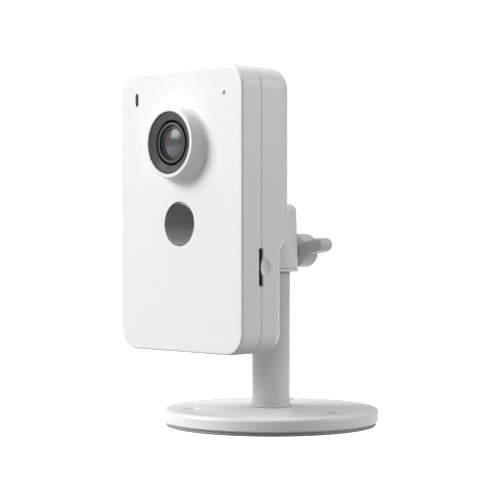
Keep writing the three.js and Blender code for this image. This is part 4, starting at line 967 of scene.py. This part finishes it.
# ---------------------------------------------------------------------------------------------
# Lens hood, barrel and retainer: matt black mouldings inside the collar. The hood steps inward
# in fine rings that trap stray light; the barrel has a thin front rim, and the ring holds the glass.
hood_black = surface("hood_black", (0.012, 0.012, 0.0125), 0.5, 0.08, 0.25 * MM, 0.2, mottle=0.15)
barrel_black = surface("barrel_black", (0.045, 0.045, 0.046), 0.48, 0.07, 0.3 * MM, 0.12, mottle=0.15)
ring_black = surface("ring_black", (0.006, 0.006, 0.006), 0.6, 0.06, 0.3 * MM, 0.12, mottle=0.15)

HOOD_OUTER = COLLAR_OPENING - 0.1 * MM
HOOD_INNER = 7.6 * MM
HOOD_FRONT = front_low.y + 0.45 * MM
HOOD_FALL = 0.95 * MM
HOOD_STEPS = 7
HOOD_RIM = 0.45 * MM
HOOD_FLANGE = 1.3 * MM
INNER_FACE = FACE + 2.1 * MM
hood_profile = [(HOOD_INNER, baffle_high.y - HOOD_FLANGE)]
for i in range(HOOD_STEPS):
    t = i / HOOD_STEPS
    y = HOOD_FRONT + HOOD_FALL * (1.0 - t)
    radius = HOOD_INNER + (HOOD_OUTER - HOOD_RIM - HOOD_INNER) * t
    step = (HOOD_OUTER - HOOD_RIM - HOOD_INNER) / HOOD_STEPS
    hood_profile.append((radius + 0.06 * MM, y))
    hood_profile.append((radius + step * 0.72, y - 0.03 * MM))
    hood_profile.append((radius + step, y - HOOD_FALL / HOOD_STEPS * 0.9))
hood_profile += [
    (HOOD_OUTER - 0.3 * MM, HOOD_FRONT),
    (HOOD_OUTER, HOOD_FRONT + 0.12 * MM),
    (HOOD_OUTER, INNER_FACE),
    (baffle_high.x, INNER_FACE),
    (baffle_high.x, baffle_high.y),
    (HOOD_OUTER - 1.4 * MM, baffle_high.y),
    (HOOD_OUTER - 1.4 * MM, baffle_high.y - HOOD_FLANGE),
]
lens_hood = turned("lens_hood", hood_profile, 128, "Y", LENS_AXIS)
smooth(lens_hood, 20.0)
finish_piece(lens_hood, hood_black, "camera", "black_plastic", "lens_baffle")

barrel_low, barrel_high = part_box("lens_barrel")
glass_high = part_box("front_glass")[1]
BARREL_FRONT = barrel_low.y
RIM_FRONT = BARREL_FRONT + 0.35 * MM
barrel = turned("barrel_body", [
    (5.88 * MM, RIM_FRONT + 0.12 * MM),
    (5.82 * MM, RIM_FRONT + 1.5 * MM),
    (5.2 * MM, RIM_FRONT + 1.55 * MM),
    (5.2 * MM, BARREL_FRONT + 4.1 * MM),
    (3.9 * MM, BARREL_FRONT + 4.3 * MM),
    (3.9 * MM, barrel_high.y),
    (5.85 * MM, barrel_high.y),
    (5.85 * MM, BARREL_FRONT + 4.7 * MM),
    (6.78 * MM, BARREL_FRONT + 4.6 * MM),
    (6.78 * MM, RIM_FRONT + 0.25 * MM),
    *curve_points(6.6 * MM, RIM_FRONT + 0.18 * MM, 0.18 * MM, 0, -90, 4),
    (6.4 * MM, RIM_FRONT),
    (6.35 * MM, RIM_FRONT + 0.1 * MM),
    (6.25 * MM, RIM_FRONT + 0.1 * MM),
    (6.2 * MM, RIM_FRONT),
    (5.98 * MM, RIM_FRONT),
], 128, "Y", LENS_AXIS)
smooth(barrel, 25.0)
finish_piece(barrel, barrel_black, "camera", "black_plastic", "lens_barrel")

retainer = turned("retaining_ring", [
    (4.72 * MM, RIM_FRONT + 0.75 * MM),
    (4.72 * MM, RIM_FRONT + 1.1 * MM),
    (5.78 * MM, RIM_FRONT + 1.1 * MM),
    (5.78 * MM, RIM_FRONT + 0.95 * MM),
    (5.0 * MM, RIM_FRONT + 0.62 * MM),
    (4.8 * MM, RIM_FRONT + 0.62 * MM),
], 96, "Y", LENS_AXIS)
smooth(retainer, 25.0)
finish_piece(retainer, ring_black, "camera", "black_plastic", "lens_retainer")


# ---------------------------------------------------------------------------------------------
# Front lens element: a domed, coated glass. It reads as dark grey because the barrel behind it
# is black; the coating gives it a soft sheen, and its base colour holds a painted sheen: lighter where
# it faces the viewer, darker towards the edge.
coated_glass, nodes, links = node_material("coated_glass")
shader = nodes["Principled BSDF"]
shader.inputs["Specular IOR Level"].default_value = 0.22
shader.inputs["Coat Weight"].default_value = 0.12
shader.inputs["Coat Roughness"].default_value = 0.05
# Painted sheen: the Layer Weight ramp makes the base colour lighter where the glass faces the viewer
# and darker towards its edge.
painted_sheen_facing = nodes.new("ShaderNodeLayerWeight")
painted_sheen_facing.inputs["Blend"].default_value = 0.35
painted_sheen_ramp = nodes.new("ShaderNodeValToRGB")
painted_sheen_ramp.color_ramp.elements[0].color = (0.15, 0.15, 0.155, 1.0)
painted_sheen_ramp.color_ramp.elements[1].color = (0.06, 0.06, 0.063, 1.0)
links.new(painted_sheen_facing.outputs["Facing"], painted_sheen_ramp.inputs["Fac"])
cloud = nodes.new("ShaderNodeTexNoise")
cloud.inputs["Scale"].default_value = 160.0
cloud.inputs["Detail"].default_value = 1.0
depth_tone = nodes.new("ShaderNodeMix")
depth_tone.data_type = "RGBA"
depth_tone.blend_type = "MULTIPLY"
depth_tone.inputs["Factor"].default_value = 0.5
place = nodes.new("ShaderNodeTexCoord")
links.new(place.outputs["Object"], cloud.inputs["Vector"])
links.new(painted_sheen_ramp.outputs["Color"], depth_tone.inputs["A"])
links.new(cloud.outputs["Color"], depth_tone.inputs["B"])
links.new(depth_tone.outputs["Result"], shader.inputs["Base Color"])
smear = nodes.new("ShaderNodeMapRange")
smear.inputs["To Min"].default_value = 0.16
smear.inputs["To Max"].default_value = 0.26
links.new(cloud.outputs["Fac"], smear.inputs["Value"])
links.new(smear.outputs["Result"], shader.inputs["Roughness"])
dome_top = RIM_FRONT + 0.2 * MM
dome_edge = RIM_FRONT + 1.15 * MM
GLASS_RADIUS = 4.68 * MM
GLASS_FLANGE = 5.1 * MM
dome_fall = dome_edge - 0.15 * MM - dome_top
dome = [(GLASS_RADIUS * t / 10, dome_top + dome_fall * (t / 10) ** 2) for t in range(11)]
front_glass = turned("front_element", [
    *dome,
    (GLASS_RADIUS, dome_edge),
    (GLASS_FLANGE, dome_edge),
    (GLASS_FLANGE, glass_high.y),
    (0.0, glass_high.y),
], 128, "Y", LENS_AXIS)
smooth(front_glass, 40.0)
finish_piece(front_glass, coated_glass, "camera", "lens_glass", "front_glass")


# ---------------------------------------------------------------------------------------------
# Infrared window and status light: polished smoked plastic, pushed in from behind so that both
# sit nearly flush with the face. The infrared lamp behind the window can't be seen through it.
smoked_window = surface("smoked_window", (0.056, 0.056, 0.058), 0.2, 0.03, 0.9 * MM, 0.02, mottle=0.08)
shader = smoked_window.node_tree.nodes["Principled BSDF"]
shader.inputs["Coat Weight"].default_value = 0.6
shader.inputs["Coat Roughness"].default_value = 0.06
WINDOW_RADIUS = 7.36 * MM
WINDOW_EDGE = 0.45 * MM
window = turned("window_disc", [
    (0.0, window_low.y - 0.12 * MM),
    (0.4 * WINDOW_RADIUS, window_low.y - 0.1 * MM),
    (0.75 * WINDOW_RADIUS, window_low.y - 0.05 * MM),
    *curve_points(WINDOW_RADIUS - WINDOW_EDGE, window_low.y + WINDOW_EDGE, WINDOW_EDGE, -88, 0, 7),
    (WINDOW_RADIUS, INNER_FACE),
    (window_high.x, INNER_FACE),
    (window_high.x, window_high.y),
    (0.0, window_high.y),
], 96, "Y", (0.0, 0.0, WINDOW_Z))
smooth(window)
finish_piece(window, smoked_window, "camera", "smoked_window", "infrared_window")

status_light = slot_tool(1.4 * MM, 4.3 * MM, light_low.y, light_high.y, LIGHT_X, SIGNAL_Z)
status_light.name = "status_light_pipe"
flange = slot_tool(3.4 * MM, 6.2 * MM, INNER_FACE, INNER_FACE + MM, LIGHT_X, SIGNAL_Z)
carve(status_light, [flange], "UNION")
smooth(status_light, 40.0)
finish_piece(status_light, smoked_window, "camera", "smoked_window", "status_guide")


# ---------------------------------------------------------------------------------------------
# Case screws: four pan-head steel screws with a cross recess, sunk in the back. They hold the
# two halves of the case together.
SCREW_HEAD = 2.38 * MM
SCREW_SHANK = 1.15 * MM
HEAD_HEIGHT = 1.5 * MM
HEAD_ROUND = 0.9 * MM
CROSS_REACH = 1.45 * MM
CROSS_HALF = 0.26 * MM
CROSS_DEPTH = 0.8 * MM
for name in case_screws:
    low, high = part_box(name)
    x = (low.x + high.x) / 2
    z = (low.z + high.z) / 2
    screw = turned(name + "_steel", [
        (0.0, low.y),
        (SCREW_SHANK, low.y + 1.2 * MM),
        (SCREW_SHANK, high.y - HEAD_HEIGHT),
        (SCREW_HEAD, high.y - HEAD_HEIGHT),
        (SCREW_HEAD, high.y - HEAD_ROUND),
        *curve_points(SCREW_HEAD - HEAD_ROUND, high.y - HEAD_ROUND, HEAD_ROUND, 15, 90, 6),
        (0.0, high.y),
    ], 48, "Y", (x, 0.0, z))
    floor_y = high.y - CROSS_DEPTH
    carve(screw, [
        box_tool(x - reach, x + reach, floor_y, high.y + MM, z - half, z + half)
        for reach, half in ((CROSS_REACH, CROSS_HALF), (CROSS_HALF, CROSS_REACH))
    ])
    smooth(screw)
    finish_piece(screw, plated_steel, "camera", "steel", name)


# ---------------------------------------------------------------------------------------------
# Reset button: a small white plunger with a domed end. A flange inside the wall keeps it from
# falling out, and it slides in along its own length.
BUTTON_FLANGE = 2.25 * MM
BUTTON_RADIUS = 1.48 * MM
BUTTON_ROUND = 0.4 * MM
reset_button = turned("reset_plunger", [
    (0.0, button_low.y),
    (BUTTON_FLANGE, button_low.y),
    (BUTTON_FLANGE, button_low.y + 1.1 * MM),
    (BUTTON_RADIUS, button_low.y + 1.1 * MM),
    (BUTTON_RADIUS, button_high.y - BUTTON_ROUND),
    *curve_points(BUTTON_RADIUS - BUTTON_ROUND, button_high.y - BUTTON_ROUND, BUTTON_ROUND, 10, 90, 5),
    (0.0, button_high.y),
], 48, "Y", (BUTTON_X, 0.0, PORT_Z))
smooth(reset_button)
finish_piece(reset_button, case_plastic, "reset", "white_plastic", "reset_button")


# ---------------------------------------------------------------------------------------------
# Card socket: a black moulding on the board whose mouth reaches into the slot in the case side.
# The mouth is a narrow slit for the memory card, and the finger scoop runs into it; its near-black nose
# filling the slot is painted shade, a dark block where the slot's inside is in shade.
SOCKET_FACE = HALF_WIDTH - 0.5 * MM
NOSE_GAP = 0.06 * MM
NOSE_END = SLOT_HALF - 0.1 * MM
MOUTH_HALF = 5.6 * MM
socket_body = box_tool(
    socket_low.x, socket_high.x, socket_low.y, socket_high.y, socket_low.z, socket_high.z,
)
socket_body.name = "card_socket_moulding"
# Painted shade: this near-black nose fills the slot so that it reads dark, as the shade inside a slot
# does.
slot_shade_nose = box_tool(
    socket_high.x - 0.3 * MM, SOCKET_FACE,
    SLOT_FRONT + NOSE_GAP, SLOT_FRONT + SLOT_WIDTH - NOSE_GAP,
    SLOT_Z - NOSE_END, SLOT_Z + NOSE_END,
)
carve(socket_body, [slot_shade_nose], "UNION")
slit = box_tool(
    socket_low.x + 1.5 * MM, SOCKET_FACE + MM,
    SLOT_FRONT + 0.45 * MM, SLOT_FRONT + 1.4 * MM,
    SLOT_Z - MOUTH_HALF, SLOT_Z + MOUTH_HALF,
)
carve(socket_body, [slit, finger_scoop()])
smooth(socket_body, 30.0)
finish_piece(socket_body, ring_black, "camera", "black_plastic", "card_socket")


# ---------------------------------------------------------------------------------------------
# Inside pieces: bought-in parts and small hardware keep their modelled shape and get the finish
# of the real thing. The circuit board's solder mask shows a faint pattern of tracks.
solder_mask, nodes, links = node_material("solder_mask")
shader = nodes["Principled BSDF"]
shader.inputs["Roughness"].default_value = 0.35
place = nodes.new("ShaderNodeTexCoord")
tracks = nodes.new("ShaderNodeTexBrick")
tracks.inputs["Scale"].default_value = 260.0
tracks.inputs["Mortar Size"].default_value = 0.03
tracks.inputs["Color1"].default_value = (0.015, 0.10, 0.045, 1.0)
tracks.inputs["Color2"].default_value = (0.02, 0.12, 0.055, 1.0)
tracks.inputs["Mortar"].default_value = (0.05, 0.22, 0.10, 1.0)
turn_map = nodes.new("ShaderNodeMapping")
turn_map.inputs["Rotation"].default_value = (math.radians(90.0), 0.0, 0.0)
links.new(place.outputs["Object"], turn_map.inputs["Vector"])
links.new(turn_map.outputs["Vector"], tracks.inputs["Vector"])
links.new(tracks.outputs["Color"], shader.inputs["Base Color"])
relief = nodes.new("ShaderNodeBump")
relief.inputs["Strength"].default_value = 0.2
relief.inputs["Distance"].default_value = 0.05 * MM
links.new(tracks.outputs["Fac"], relief.inputs["Height"])
links.new(relief.outputs["Normal"], shader.inputs["Normal"])

chip_epoxy = surface("chip_epoxy", (0.03, 0.03, 0.032), 0.55, 0.08, 0.2 * MM, 0.2, mottle=0.2)
copper_film = surface("copper_film", (0.7, 0.38, 0.2), 0.35, 0.08, 0.5 * MM, 0.1, 1.0, 0.1)
cast_aluminium = surface("cast_aluminium", (0.7, 0.71, 0.72), 0.38, 0.08, 0.3 * MM, 0.2, 1.0, 0.08)
inner_glass = surface("inner_glass", (0.06, 0.06, 0.065), 0.1, 0.03, 1.0 * MM, 0.02, mottle=0.1)
seal_rubber = surface("seal_rubber", (0.05, 0.05, 0.05), 0.8, 0.08, 0.3 * MM, 0.3, mottle=0.2)
FINISHES = {
    "white_plastic": case_plastic,
    "black_plastic": barrel_black,
    "smoked_window": smoked_window,
    "lens_glass": inner_glass,
    "steel": plated_steel,
    "brass": turned_brass,
    "rubber": seal_rubber,
    "circuit_board": solder_mask,
    "component": chip_epoxy,
    "copper_film": copper_film,
    "aluminium": cast_aluminium,
}
slots = {entry["node"]: entry["material_slot"] for entry in frame["record"]["subparts"]}
for name, piece in frame["nodes"].items():
    piece.data.materials.clear()
    piece.data.materials.append(FINISHES[slots[name]])
